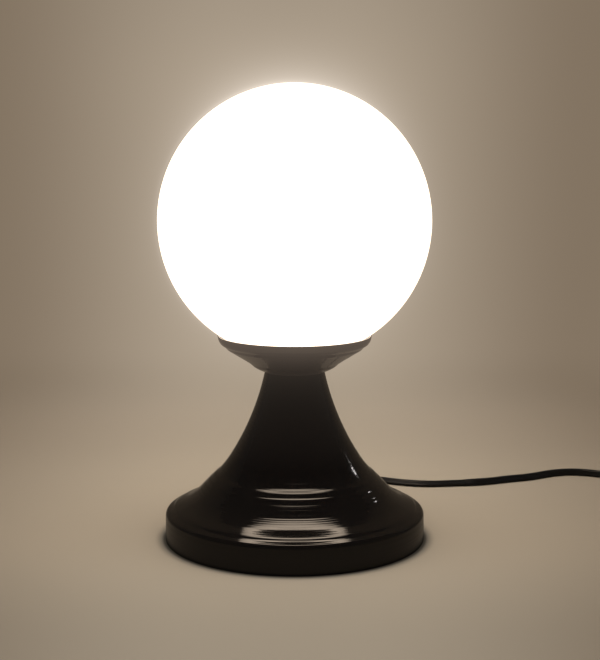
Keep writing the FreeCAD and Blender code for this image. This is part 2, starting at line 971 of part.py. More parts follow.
def make_inner_flex():
    """The flat flex from the strain relief's end, under the weight and up the tube."""
    high, bend = s.exit_height.value, s.flex_bend_radius.value
    reach = bend * (1 - math.cos(math.radians(45)))
    start = Vector(0, relief_end.value, high)
    edges = [
        Part.LineSegment(start, Vector(0, bend, high)).toShape(),
        Part.Arc(Vector(0, bend, high), Vector(0, reach, high + reach), Vector(0, 0, high + bend)).toShape(),
        Part.LineSegment(Vector(0, 0, high + bend), Vector(0, 0, flex_top.value)).toShape(),
    ]
    half = s.flex_flat_thick.value / 2
    flat = s.flex_radius.value - half
    corners = [Vector(x, start.y, high + z) for x, z in ((-flat, -half), (flat, -half), (flat, half), (-flat, half))]
    side = Vector(s.flex_radius.value, start.y, high)
    section = Part.Wire(
        [
            Part.LineSegment(corners[0], corners[1]).toShape(),
            Part.Arc(corners[1], side, corners[2]).toShape(),
            Part.LineSegment(corners[2], corners[3]).toShape(),
            Part.Arc(corners[3], Vector(-side.x, side.y, side.z), corners[0]).toShape(),
        ]
    )
    node = keep(document.addObject("Part::Feature", "inner_flex"), "inner_flex")
    node.Shape = swept(Part.Wire(edges), section)
    node.Placement = Placement()


def make_core(label, side):
    spread, place = s.core_spread.value * side, s.block_place.value * side
    low, high = flex_top.value, (insert_low - s.holder_clear - s.block_height).value
    rise = (high - low) / 3
    points = [
        (spread, 0, low),
        (spread, 0, low + rise),
        (place, 0, high - rise),
        (place, 0, high),
    ]
    wire, _ = route_wire(points)
    tube_node(label, wire, s.core_radius.value)


def make_strain_relief():
    hole_face = s.rim_radius
    inner = hole_face - s.relief_flange_thick - s.shell_wall
    outer = foot_radius
    points = [
        (bore_radius, inner - s.relief_clear),
        (s.relief_flange_radius, inner - s.relief_clear),
        (s.relief_flange_radius, inner + s.relief_flange_thick - s.relief_clear),
        (s.relief_neck_radius, inner + s.relief_flange_thick - s.relief_clear),
        (s.relief_neck_radius, outer),
        (s.relief_collar_radius, outer),
        (s.relief_collar_radius, outer + s.relief_collar_thick),
        (s.relief_root_radius, outer + s.relief_collar_thick),
        (s.relief_tip_radius, relief_end),
        (bore_radius, relief_end),
    ]
    body = turned("strain_relief", points, "XY_Plane")
    body.Placement.Base.z = s.exit_height.value
    bind(body, Placement__Base__z=s.exit_height)


# The gallery, its spring and the globe


def gallery_outline():
    outer = [(s.lip_radius, s.stand_height + s.gallery_height)]
    for across, up in GALLERY_SHARES:
        outer.append((s.lip_radius * across, s.stand_height + s.gallery_height * up))
    outer[-1] = (*outer[-1], -s.cup_round)
    outer.append((s.gallery_floor_radius, s.stand_height))
    outer.append((tube_hole_radius, s.stand_height))
    return outer


def make_gallery():
    outer = gallery_outline()
    inner = inset(outer, s.gallery_wall)
    body = turned("gallery", outer + inner)
    shoulder = [point[:2] for point in outer[1:5]]
    round_rings(body, "shoulder_rounds", shoulder, s.shoulder_round)
    round_rings(body, "lip_rounds", [outer[0], inner[-1]], s.lip_round)


def globe_bore():
    return s.globe_neck_radius - s.globe_wall


def make_globe_spring():
    body = new_body("globe_spring")
    loops = [(s.spring_disc_radius, 0, 0), (tube_hole_radius, 0, 0)]
    pad(body, "disc", "XY_Plane", floor_top, loops, s.spring_thick)
    reach = globe_bore() - s.spring_clear
    upper = [(reach * across, spring_top + s.spring_arm_height * up) for across, up in SPRING_ARM_SHARES]
    points = upper + inset(upper, s.spring_thick)
    arm = pad(body, "arm", "XZ_Plane", 0, [points], s.spring_arm_width, middle=True)
    ring_pattern(body, "arm", [arm], s.spring_arm_count)


def globe_centre():
    """The ball's centre: it stands on the lip's inner edge, with the seat's gap."""
    lip_inner = inset(gallery_outline(), s.gallery_wall)[-1]
    ball = s.globe_radius + s.globe_seat_gap
    return lip_inner[1] + root(ball * ball - lip_inner[0] * lip_inner[0])


def make_globe():
    centre, inside = globe_centre(), s.globe_radius - s.globe_wall
    cut = centre - root(s.globe_radius * s.globe_radius - s.globe_neck_radius * s.globe_neck_radius)
    inner_cut = centre - root(inside * inside - globe_bore() * globe_bore())
    low = cut - s.globe_neck_length
    points = [
        (s.globe_neck_radius, low),
        (s.globe_neck_radius, cut, s.globe_radius),
        (0, centre + s.globe_radius),
        (0, centre + inside, -inside),
        (globe_bore(), inner_cut),
        (globe_bore(), low),
    ]
    body = turned("globe", points)
    ends = [(s.globe_neck_radius, low), (globe_bore(), low)]
    round_rings(body, "neck_rounds", ends, s.globe_neck_round)


# The lampholder


def make_holder_cap():
    boss_top = holder_low + s.holder_boss_height
    shoulder_drop = s.holder_spigot_height / 2
    chamber_low = boss_top + s.holder_boss_height
    boss_inside = s.holder_boss_radius - s.holder_boss_wall
    spigot_inside = s.holder_spigot_radius - s.holder_wall
    points = [
        (s.tube_radius + s.bore_clear, holder_low),
        (s.holder_boss_radius, holder_low),
        (s.holder_boss_radius, boss_top),
        (s.holder_cap_radius, cap_shoulder - shoulder_drop),
        (s.holder_cap_radius, cap_shoulder),
        (s.holder_spigot_radius, cap_shoulder),
        (s.holder_spigot_radius, spigot_top),
        (spigot_inside, spigot_top),
        (spigot_inside, cap_shoulder - s.holder_wall),
        (boss_inside, chamber_low),
        (boss_inside, tube_top + s.holder_clear),
        (s.tube_radius + s.bore_clear, tube_top + s.holder_clear),
    ]
    body = turned("lampholder_cap", points)
    hole = (s.lock_screw_radius + s.lock_screw_clear, 0, lock_height())
    pocket(body, "lock_hole", "XZ_Plane", 0, [hole], s.holder_boss_radius + s.overrun, reverse=True)


def lock_height():
    return holder_low + s.holder_boss_height / 2


def make_lock_screw():
    screw = part_solid(
        "Cylinder",
        "holder_lock_screw",
        (0, -(s.tube_radius + s.bore_clear), lock_height()),
        Radius=s.lock_screw_radius,
        Height=s.holder_boss_radius - s.tube_radius,
    )
    screw.Placement.Rotation = Rotation(Vector(1, 0, 0), 90)
    keep(screw, "holder_lock_screw")


def make_holder_shell():
    bore = s.holder_spigot_radius + s.holder_clear
    inside = bore - s.holder_shell_step
    lip_low = shell_top - s.holder_lip_thick
    points = [
        (bore, shell_low),
        (s.holder_radius, shell_low),
        (s.holder_radius, shell_top - s.holder_lip_thick / 2),
        (s.holder_radius - s.holder_lip_thick / 2, shell_top),
        (s.holder_mouth_radius, shell_top),
        (s.holder_mouth_radius, lip_low),
        (inside, lip_low - s.holder_lip_thick),
        (inside, flange_top + s.holder_clear),
        (bore, flange_top + s.holder_clear),
    ]
    turned("lampholder_shell", points)


def make_holder_insert():
    flange = s.holder_spigot_radius - s.bore_clear
    collar = flange - s.insert_flange_width
    points = [
        (0, insert_low),
        (s.insert_radius, insert_low),
        (s.insert_radius, flange_low),
        (flange, flange_low),
        (flange, flange_top),
        (collar, flange_top),
        (collar, insert_top),
        (s.insert_pocket_radius, insert_top),
        (s.insert_pocket_radius, pocket_floor),
        (0, pocket_floor),
    ]
    turned("lampholder_insert", points)


def knuckles(radius, depth, low, side):
    """A round thread drawn as rings: up from low, each pitch swells by depth to one side."""
    bulge = s.knuckle_swell_radius
    points = []
    for k in range(round(s.knuckle_count.value)):
        start = low + s.knuckle_pitch * k
        points.append((radius, start, bulge * side))
        points.append((radius + depth, start + s.knuckle_pitch / 2, bulge * side))
    points.append((radius, low + s.knuckle_pitch * s.knuckle_count))
    return points


def make_thread_sleeve():
    low = insert_top + s.sleeve_wall
    wave_low = low + s.sleeve_wall
    inner = knuckles(s.sleeve_radius, s.knuckle_depth, wave_low, 1)
    outer_radius = s.sleeve_radius + s.knuckle_depth + s.sleeve_wall
    top = insert_top + s.sleeve_height
    flange_inside = s.insert_pocket_radius + s.sleeve_wall
    points = [(p[0], p[1]) for p in inner]
    points = [(flange_inside, insert_top), (flange_inside, low), (s.sleeve_radius, low)] + points
    points += [(s.sleeve_radius, top), (outer_radius, top), (outer_radius, insert_top)]
    turned("thread_sleeve", points)


def make_centre_tongue():
    top = contact_low() - s.bulb_seat
    upper = [
        (-(s.insert_pocket_radius - s.overrun), pocket_floor + s.tongue_thick),
        (-s.tongue_width / 2, pocket_floor + s.tongue_thick),
        (s.tongue_width / 4, top),
        (s.tongue_width, top),
    ]
    body = new_body("centre_tongue")
    pad(body, "strip", "XZ_Plane", 0, [upper + inset(upper, s.tongue_thick)], s.tongue_width, middle=True)


def block_low():
    return insert_low - s.holder_clear - s.block_height


def make_terminal_blocks():
    made = []
    for side in (-1, 1):
        name = f"terminal_block_{side + 1}"
        block = part_solid(
            "Box",
            f"{name}_body",
            (s.block_place * side - s.block_width / 2, -s.block_depth / 2, block_low()),
            Length=s.block_width,
            Width=s.block_depth,
            Height=s.block_height,
        )
        bore = part_solid(
            "Cylinder",
            f"{name}_bore",
            (s.block_place * side, 0, block_low() + s.block_height / 2),
            Radius=s.block_screw_radius + s.bore_clear,
            Height=s.block_depth,
        )
        bore.Placement.Rotation = Rotation(Vector(1, 0, 0), 90)
        cut = document.addObject("Part::Cut", name)
        cut.Base, cut.Tool = block, bore
        made.append(cut)
    joined("terminal_blocks", made)


def make_terminal_screws():
    made = []
    for side in (-1, 1):
        name = f"terminal_screw_{side + 1}"
        place = (s.block_place * side, 0, block_low() + s.block_height / 2)
        shank = part_solid(
            "Cylinder",
            f"{name}_shank",
            place,
            Radius=s.block_screw_radius,
            Height=s.block_depth / 2 + s.block_head_thick,
        )
        head = part_solid(
            "Cylinder",
            f"{name}_head",
            (place[0], -s.block_depth / 2, place[2]),
            Radius=s.block_head_radius,
            Height=s.block_head_thick,
        )
        for item in (shank, head):
            item.Placement.Rotation = Rotation(Vector(1, 0, 0), 90)
        made.append(fused(name, [shank, head]))
    joined("terminal_screws", made)


# The bulb


def contact_low():
    return pocket_floor + s.tongue_thick + s.tongue_width / 2 + s.bulb_seat


def cap_low():
    return contact_low() + s.bulb_contact_thick + s.bulb_insulator_height - s.overrun


def make_bulb_contact():
    low, radius = contact_low(), s.bulb_contact_radius
    top = low + s.bulb_contact_thick
    points = [
        (0, low),
        (radius * 0.7, low),
        (radius, low + s.bulb_contact_thick * 0.65),
        (radius, top),
        (0, top),
    ]
    turned("bulb_contact", points)


def make_bulb_insulator():
    low = contact_low() + s.bulb_contact_thick
    high = low + s.bulb_insulator_height
    points = [
        (0, low),
        (s.bulb_contact_radius, low),
        (s.bulb_insulator_radius, high - s.overrun),
        (s.bulb_insulator_radius, high),
        (0, high),
    ]
    turned("bulb_insulator", points)


def make_bulb_cap():
    low = cap_low() + s.bore_clear
    inner = s.bulb_insulator_radius + s.bore_clear
    valley = s.bulb_thread_radius - s.bulb_thread_depth
    waves = [
        (radius, up)
        for radius, up, *_ in knuckles(valley, s.bulb_thread_depth, low + s.bulb_cap_wall, -1)
    ]
    top = cap_low() + s.bulb_cap_height
    wide = valley - s.bulb_cap_wall
    points = [(inner, low), (valley, low)] + waves
    points += [
        (s.bulb_thread_radius, waves[-1][1] + s.bulb_thread_depth),
        (s.bulb_thread_radius, top),
        (wide, top),
        (wide, low + s.bulb_cap_wall * 3),
        (inner, low + s.bulb_cap_wall * 2),
    ]
    turned("bulb_cap", points)


def bulb_top():
    return contact_low() + s.bulb_length


def rim_place():
    """The radius and height at which the diffuser meets the housing."""
    drop = s.housing_rim_drop
    return root(s.bulb_radius * s.bulb_radius - drop * drop), bulb_top() - s.bulb_radius - drop


def make_bulb_housing():
    rim, rim_high = rim_place()
    neck = s.bulb_thread_radius - s.bulb_thread_depth - s.bulb_cap_wall - s.bore_clear
    cap_top = cap_low() + s.bulb_cap_height + s.bore_clear
    seat = rim - s.housing_wall
    ledge = rim_high - s.housing_rim_drop
    plug_low = cap_top - s.bulb_cap_height * 0.75
    wall = s.housing_wall
    points = [
        (neck - wall, plug_low),
        (neck, plug_low),
        (neck, cap_top),
        (s.bulb_thread_radius, cap_top),
        (s.bulb_thread_radius + wall, cap_top + wall, -s.housing_swell),
        (rim, ledge),
        (rim, rim_high),
        (seat, rim_high),
        (seat, ledge + wall),
        (seat - wall, ledge + wall),
        (seat - wall, ledge, s.housing_swell - wall),
        (s.bulb_thread_radius, cap_top + wall * 2),
        (neck - wall, cap_top),
    ]
    turned("bulb_housing", points)


def make_bulb_diffuser():
    rim, rim_high = rim_place()
    inside = s.bulb_radius - s.diffuser_wall
    low = rim_high + s.bore_clear
    drop = s.housing_rim_drop - s.bore_clear
    points = [
        (root(s.bulb_radius * s.bulb_radius - drop * drop), low, s.bulb_radius),
        (0, bulb_top()),
        (0, bulb_top() - s.diffuser_wall, -inside),
        (root(inside * inside - drop * drop), low),
    ]
    turned("bulb_diffuser", points)


def make_led_board():
    rim, rim_high = rim_place()
    low = rim_high - s.housing_rim_drop + s.housing_wall + s.bore_clear
    radius = rim - s.housing_wall - s.holder_clear
    body = new_body("led_board")
    pad(body, "disc", "XY_Plane", low, [(radius, 0, 0)], s.board_thick)
    half = s.led_size / 2
    chip = rectangle(s.led_ring_radius - half, -half, s.led_ring_radius + half, half)
    led = pad(body, "led", "XY_Plane", low + s.board_thick, [chip], s.led_thick)
    ring_pattern(body, "led", [led], s.led_count)


def make_driver_board():
    low = contact_low() + s.bulb_contact_thick + s.bulb_insulator_height + s.bulb_seat
    board = part_solid(
        "Box",
        "driver_plate",
        (-s.driver_width / 2, 0, low),
        Length=s.driver_width,
        Width=s.board_thick,
        Height=s.driver_height,
    )
    can = part_solid(
        "Cylinder",
        "driver_can",
        (0, -s.driver_part_radius + s.bore_clear, low + s.driver_height / 2),
        Radius=s.driver_part_radius,
        Height=s.driver_part_height,
    )
    choke = part_solid(
        "Box",
        "driver_choke",
        (-s.driver_part_radius, s.board_thick - s.bore_clear, low + s.driver_height / 2),
        Length=s.driver_part_radius * 2,
        Width=s.driver_part_radius,
        Height=s.driver_part_height,
    )
    keep(fused("driver_board", [board, can, choke]), "driver_board")


# The switch on the flex


def switch_plan(shrink):
    """The switch from above: straight sides that taper to the ends, smaller by shrink all round."""
    half = s.switch_width / 2 - shrink
    end = s.switch_end_width / 2 - shrink
    straight = s.switch_straight / 2 - shrink / 2
    reach = s.switch_length / 2 - shrink
    return [
        (-end, -reach),
        (end, -reach),
        (half, -straight),
        (half, straight),
        (end, reach),
        (-end, reach),
        (-half, straight),
        (-half, -straight),
    ]


def nozzle_section(side):
    """Half of the nose that grips the flex, above or below the parting."""
    half, level = s.nozzle_half_width, s.switch_parting
    waist = half * 0.58
    return [
        (-half, level),
        (-half, level + half * 0.42 * side),
        (-waist, level + half * side),
        (waist, level + half * side),
        (half, level + half * 0.42 * side),
        (half, level),
    ]


def place_switch(body):
    body.Placement.Base = Vector(s.switch_x.value, switch_y.value, 0)
    bind(body, Placement__Base__x=s.switch_x, Placement__Base__y=switch_y)


def nose_length():
    return s.switch_length + s.nozzle_length * 2


def screw_spots():
    return [(s.switch_screw_x * side, s.switch_screw_y * side) for side in (-1, 1)]


def make_switch_base():
    body = new_body("switch_base")
    pad(body, "plan", "XY_Plane", 0, [switch_plan(as_size(0))], s.switch_parting)
    pad(body, "nose", "XZ_Plane", 0, [nozzle_section(-1)], nose_length(), middle=True)
    depth = s.switch_parting - s.switch_wall
    pocket(body, "inside", "XY_Plane", s.switch_parting, [switch_plan(s.switch_wall)], depth)
    flex_bore = [(bore_radius, 0, s.switch_parting)]
    pocket(body, "flex_bore", "XZ_Plane", 0, flex_bore, nose_length() + s.overrun, middle=True)
    bosses = [(s.switch_boss_radius, x, y) for x, y in screw_spots()]
    pad(body, "bosses", "XY_Plane", s.switch_wall - s.bore_clear, bosses, depth + s.bore_clear)
    shanks = [(s.thread_hole_radius, x, y) for x, y in screw_spots()]
    pocket(body, "shank_holes", "XY_Plane", 0, shanks, s.switch_parting + s.overrun, reverse=True)
    heads = [(s.screw_head_radius + s.holder_clear, x, y) for x, y in screw_spots()]
    sink = s.switch_screw_sink + s.screw_head_thick
    pocket(body, "head_holes", "XY_Plane", 0, heads, sink, reverse=True)
    place_switch(body)


def make_switch_cover():
    body = new_body("switch_cover")
    rise = s.switch_height - s.switch_parting
    pad(body, "plan", "XY_Plane", s.switch_parting, [switch_plan(as_size(0))], rise)
    tip = body.Tip
    crown = []
    for number, edge in enumerate(tip.Shape.Edges, 1):
        ends = [vertex.Point.z for vertex in edge.Vertexes]
        if min(ends) > s.switch_height.value - s.bore_clear.value:
            crown.append(f"Edge{number}")
    chamfer = body.newObject("PartDesign::Chamfer", "switch_cover_crown")
    chamfer.Base = (tip, crown)
    bind(chamfer, Size=s.switch_wall)
    document.recompute()
    pad(body, "nose", "XZ_Plane", 0, [nozzle_section(1)], nose_length(), middle=True)
    plan = [switch_plan(s.switch_wall)]
    pocket(body, "inside", "XY_Plane", s.switch_parting, plan, rise - s.switch_wall, reverse=True)
    flex_bore = [(bore_radius, 0, s.switch_parting)]
    pocket(body, "flex_bore", "XZ_Plane", 0, flex_bore, nose_length() + s.overrun, middle=True)
    wide, long = s.window_half_width, s.window_half_length
    window = [rectangle(-wide, -long, wide, long)]
    pocket(body, "window", "XY_Plane", s.switch_parting, window, rise + s.overrun, reverse=True)
    roof = s.switch_height - s.switch_wall
    ear_low = s.rocker_pivot_height - s.pivot_radius * 2
    for side in (-1, 1):
        near = (s.rocker_half_width + s.ear_gap) * side
        far = near + s.ear_thick * side
        low, high = (near, far) if side > 0 else (far, near)
        ear = [rectangle(low, -s.ear_half_width, high, s.ear_half_width)]
        name = "right_ear" if side > 0 else "left_ear"
        pad(body, name, "XY_Plane", ear_low, ear, roof - ear_low + s.bore_clear)
    pivot = [(s.pivot_radius + s.pivot_clear, 0, s.rocker_pivot_height)]
    reach = (s.rocker_half_width + s.ear_gap + s.ear_thick + s.bore_clear) * 2
    pocket(body, "pivot_bore", "YZ_Plane", 0, pivot, reach, middle=True)
    bosses = [(s.switch_boss_radius, x, y) for x, y in screw_spots()]
    pad(body, "bosses", "XY_Plane", s.switch_parting, bosses, rise - s.switch_wall + s.bore_clear)
    shanks = [(s.thread_hole_radius, x, y) for x, y in screw_spots()]
    depth = s.switch_screw_length - s.switch_parting + s.switch_wall
    pocket(body, "shank_holes", "XY_Plane", s.switch_parting, shanks, depth, reverse=True)
    place_switch(body)


def rocker_section():
    long, bottom = s.rocker_half_length, -s.rocker_bottom_drop
    end_rise = s.rocker_top_rise + long * math.tan(math.radians(s.rocker_tilt.value))
    foot = long * 0.92
    belly = long * 1.03
    return [
        (-foot, bottom),
        (foot, bottom),
        (belly, s.rocker_top_rise * 0.25),
        (long, end_rise),
        (0, s.rocker_top_rise),
        (-long, end_rise),
        (-belly, s.rocker_top_rise * 0.25),
    ]


def tilt_with_rocker(body):
    """Sets a piece of the rocker on its pivot, tilted to the on side."""
    tilt = Rotation(Vector(1, 0, 0), s.rocker_tilt.value)
    body.Placement = Placement(Vector(s.switch_x.value, switch_y.value, s.rocker_pivot_height.value), tilt)
    bind(
        body,
        Placement__Base__x=s.switch_x,
        Placement__Base__y=switch_y,
        Placement__Base__z=s.rocker_pivot_height,
    )


def make_switch_rocker():
    body = new_body("switch_rocker")
    pad(body, "side", "YZ_Plane", 0, [rocker_section()], s.rocker_half_width * 2, middle=True)
    reach = (s.rocker_half_width + s.ear_gap + s.ear_thick) * 2
    pad(body, "pivot", "YZ_Plane", 0, [(s.pivot_radius, 0, 0)], reach, middle=True)
    tilt_with_rocker(body)


def make_contact_bridge():
    body = new_body("contact_bridge")
    wide, long = s.contact_half_width, s.bridge_half_length
    plate = [rectangle(-wide, -long, wide, long)]
    top = -s.rocker_bottom_drop
    pad(body, "plate", "XY_Plane", top, plate, s.bridge_thick, reverse=True)
    tilt_with_rocker(body)


def make_switch_contacts():
    tilt = math.radians(s.rocker_tilt.value)
    drop = (s.rocker_bottom_drop + s.bridge_thick) * math.cos(tilt)
    reach = s.contact_place + s.contact_half_length
    centre_top = s.rocker_pivot_height - drop - s.contact_half_length * math.sin(tilt) - s.contact_gap
    side_top = s.rocker_pivot_height - drop - reach * math.sin(tilt) - s.contact_gap
    made = []
    for name, place, top in (("centre", 0, centre_top), ("side", -s.contact_place, side_top)):
        post = part_solid(
            "Box",
            f"{name}_contact",
            (
                s.switch_x - s.contact_half_width,
                switch_y + place - s.contact_half_length,
                s.switch_wall,
            ),
            Length=s.contact_half_width * 2,
            Width=s.contact_half_length * 2,
            Height=top - s.switch_wall,
        )
        made.append(post)
    joined("switch_contacts", made)


def make_switch_screws():
    places = [(s.switch_x + x, switch_y + y) for x, y in screw_spots()]
    upright_screws("switch_screws", places, s.switch_screw_sink, s.switch_screw_length)


# The free flex, its coil and tie, and the plug


def run_route():
    """From the strain relief down to the table, along it, and up to the switch."""
    low = s.flex_radius.value
    points = []
    for high, part in ((s.exit_height.value, FLEX_ROUTE), (s.switch_parting.value, SWITCH_ROUTE)):
        for x, y, share in part:
            points.append(Vector(x, relief_end.value + y, low + (high - low) * share))
    return points


def link_route():
    """From the switch down to the coil's lower layer."""
    low, high = (s.flex_radius + s.coil_lift).value, s.switch_parting.value
    start = (switch_y - nose_length() / 2).value
    return [Vector(s.switch_x.value, start + y, low + (high - low) * share) for y, share in LINK_ROUTE]


def coil_path():
    """Quarter turns that spiral in, climb a layer over the innermost half turn, and spiral out."""
    step = s.coil_pitch.value / 4
    count = round(s.coil_quarter_turns.value)
    middle = count // 2
    heading = Vector(0, -1, 0)
    lead = link_route()[-1]
    at = lead + heading * s.coil_lead.value
    edges = [Part.LineSegment(lead, at).toShape()]
    k = 0
    while k < count:
        left = Vector(-heading.y, heading.x, 0)
        if k == middle - 1:
            radius = s.coil_inner_radius.value
            end = at + left * (2 * radius) + Vector(0, 0, s.coil_pitch.value)
            half = (end - at).Length / 2
            join = (at + end) / 2 + heading * half
            rise = (end - at).normalize()
            for a, b, first, last in ((at, join, heading, rise), (join, end, rise, -heading)):
                centre = a + last * half
                spoke = ((a - centre) + (b - centre)).normalize() * half
                edges.append(Part.Arc(a, centre + spoke, b).toShape())
            at, heading = end, -heading
            k += 2
            continue
        apart = middle - 1 - k if k < middle else k - middle
        radius = s.coil_inner_radius.value + step * apart
        centre = at + left * radius
        end = centre + heading * radius
        spoke = ((at - centre) + (end - centre)).normalize() * radius
        edges.append(Part.Arc(at, centre + spoke, end).toShape())
        at, heading = end, left
        k += 1
    tail = at + heading * (2 * s.flex_radius.value)
    edges.append(Part.LineSegment(at, tail).toShape())
    return Part.Wire(edges), tail


def least_gap(wire, radius):
    """The closest that the tube comes to itself, measured between points along it."""
    spacing = 1.5
    points = wire.discretize(Distance=spacing)
    skip = int(math.pi * radius * 2 / spacing) + 2
    least = None
    for i, point in enumerate(points):
        for other in points[i + skip :]:
            gap = point.distanceToPoint(other)
            if least is None or gap < least:
                least = gap
    return least - 2 * radius


def make_flex():
    radius = s.flex_radius.value
    closest = 5 * 2 * radius
    wire, radii = route_wire(run_route(), closest)
    print("flex_run radii:", [round(r, 1) for r in radii])
    tube_node("flex_run", wire, radius)
    wire, radii = route_wire(link_route(), closest)
    print("flex_link radii:", [round(r, 1) for r in radii])
    tube_node("flex_link", wire, radius)
    wire, tail = coil_path()
    tube_node("flex_coil", wire, radius)
    print("flex_coil least gap to itself:", round(least_gap(wire, radius), 2))
    wire, radii = route_wire(tail_route(tail), closest)
    print("flex_tail radii:", [round(r, 1) for r in radii])
    tube_node("flex_tail", wire, radius)


def tail_route(tail):
    """From the coil's end, down to the plug that lies beside the coil."""
    run = s.plug_reach.value / 4
    drop = tail.z - s.plug_axis_height.value
    drop_shares = (1.0, 1.0, 0.3, 0.0, 0.0)
    points = []
    for k, share in enumerate(drop_shares):
        points.append(Vector(tail.x, tail.y + run * k, s.plug_axis_height.value + drop * share))
    return points


def make_coil_tie():
    """A strap round the piled turns, at the coil's front."""
    wire, _ = coil_path()
    front = min(wire.discretize(Distance=1), key=lambda p: p.y)
    turns = s.coil_pitch * 2
    outer = as_size(front.y) - s.flex_radius - s.tie_side_clear
    inner = as_size(front.y) + turns + s.flex_radius + s.tie_side_clear
    high = s.tie_thick + s.tie_side_clear + s.flex_radius * 2 + s.coil_pitch + s.coil_lift - s.tie_thick
    body = new_body("coil_tie")
    loops = [
        rectangle(outer - s.tie_thick, 0, inner + s.tie_thick, high + s.tie_thick),
        rectangle(outer, s.tie_thick, inner, high),
    ]
    pad(body, "strap", "YZ_Plane", front.x, loops, s.tie_width, middle=True)


def plug_place():
    """Where the plug's nose takes the end of the flex."""
    _, tail = coil_path()
    return Vector(tail.x, tail.y + s.plug_reach.value, s.plug_axis_height.value)


def make_plug_body():
    body = new_body("plug_body")
    wide, flat, tall = s.plug_half_width, s.plug_flat_half_width, s.plug_half_height
    section = [(-wide, 0), (-flat, -tall), (flat, -tall), (wide, 0), (flat, tall), (-flat, tall)]
    start = s.plug_nozzle_length
    pad(body, "section", "XZ_Plane", -start, [section], s.plug_length, reverse=True)
    far = wide + s.overrun
    taper_end = start + s.plug_taper_length
    for side in (-1, 1):
        corner = [
            (s.plug_end_half_width * side, start - s.overrun),
            (far * side, start - s.overrun),
            (far * side, taper_end),
            (wide * side, taper_end),
        ]
        name = "right_taper" if side > 0 else "left_taper"
        pocket(body, name, "XY_Plane", 0, [corner], tall * 2 + s.overrun, middle=True)
    nozzle = [
        (0, 0),
        (s.plug_nozzle_tip_radius, 0),
        (s.plug_nozzle_radius, start + s.overrun),
        (0, start + s.overrun),
    ]
    turn_outline(body, nozzle, "XY_Plane", "V_Axis", "nozzle")
    holes = [(s.pin_radius + s.pin_clear, s.pin_half_spacing * side, 0) for side in (-1, 1)]
    face = start + s.plug_length
    pocket(body, "pin_holes", "XZ_Plane", -face, holes, s.pin_root_length, reverse=True)
    body.Placement.Base = plug_place()
    bind(body, Placement__Base__z=s.plug_axis_height)


def make_plug_pins():
    made = []
    place = plug_place()
    root_place = place.y + s.plug_nozzle_length + s.plug_length - s.pin_root_length
    for side in (-1, 1):
        pin = part_solid(
            "Cylinder",
            f"plug_pin_{side + 1}",
            (s.pin_half_spacing * side + place.x, root_place, s.plug_axis_height),
            Radius=s.pin_radius,
            Height=s.pin_root_length + s.pin_length,
        )
        pin.Placement.Rotation = Rotation(Vector(1, 0, 0), -90)
        document.recompute()
        tip = document.addObject("Part::Fillet", f"plug_pin_tip_{side + 1}")
        tip.Base = pin
        far = max(range(len(pin.Shape.Edges)), key=lambda i: pin.Shape.Edges[i].CenterOfMass.y)
        tip.Edges = [(far + 1, s.pin_round.value, s.pin_round.value)]
        made.append(tip)
    joined("plug_pins", made)


def check_and_write():
    document.recompute()
    faults = [item.Name for item in document.Objects if "Invalid" in item.State or "Error" in item.State]
    if faults:
        raise ValueError(f"these objects failed: {faults}")
    for node in NODES:
        if node.Shape.isNull() or not node.Shape.isValid():
            raise ValueError(f"{node.Label} has no valid shape")
    os.makedirs("parts", exist_ok=True)
    for node in NODES:
        node.Shape.exportStep(f"parts/{node.Label}.step")
        print(node.Label, len(node.Shape.Solids), round(node.Shape.Volume, 1))


def main():
    make_stand_shell()
    make_base_weight()
    make_base_cover()
    make_base_felt()
    make_cover_screws()
    make_support_tube()
    lower_nut_low = recess_top - s.lower_washer_thick - s.lower_nut_thick
    make_nut("lower_nut", lower_nut_low, s.lower_nut_thick)
    make_lower_washer()
    make_cord_clamp()
    make_clamp_screws()
    make_inner_flex()
    make_strain_relief()
    make_gallery()
    make_globe_spring()
    make_upper_washer()
    make_nut("upper_nut", upper_nut_low, s.upper_nut_thick)
    make_globe()
    make_holder_cap()
    make_lock_screw()
    make_holder_shell()
    make_holder_insert()
    make_thread_sleeve()
    make_centre_tongue()
    make_terminal_blocks()
    make_terminal_screws()
    make_core("live_core", 1)
    make_core("neutral_core", -1)
    make_bulb_contact()
    make_bulb_insulator()
    make_bulb_cap()
    make_bulb_housing()
    make_bulb_diffuser()
    make_led_board()
    make_driver_board()
    make_switch_base()
    make_switch_cover()
    make_switch_rocker()
    make_contact_bridge()
    make_switch_contacts()
    make_switch_screws()
    make_flex()
    make_coil_tie()
    make_plug_body()
    make_plug_pins()
    check_and_write()


main()
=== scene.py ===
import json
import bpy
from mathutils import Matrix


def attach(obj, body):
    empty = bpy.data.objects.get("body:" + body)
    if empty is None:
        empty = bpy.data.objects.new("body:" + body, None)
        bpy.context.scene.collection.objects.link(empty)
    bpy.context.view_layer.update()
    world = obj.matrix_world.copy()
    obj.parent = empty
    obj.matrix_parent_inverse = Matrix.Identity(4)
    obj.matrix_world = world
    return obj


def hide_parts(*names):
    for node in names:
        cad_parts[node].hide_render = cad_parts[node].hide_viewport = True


bl_info = {
    "name": "Globe Table Lamp",
    "version": (1, 0, 0),
    "blender": (4, 5, 0),
    "location": "View3D > Sidebar > Lamp",
    "description": "Dresses the packed globe table lamp: enamel, opal glass, flex, switch and plug",
    "category": "Object",
}

from math import asin, atan2, copysign, cos, degrees, exp, hypot, pi, radians, sin, tan

import bmesh
import bpy
from bpy.props import FloatProperty, FloatVectorProperty, IntProperty, PointerProperty
from mathutils import Vector

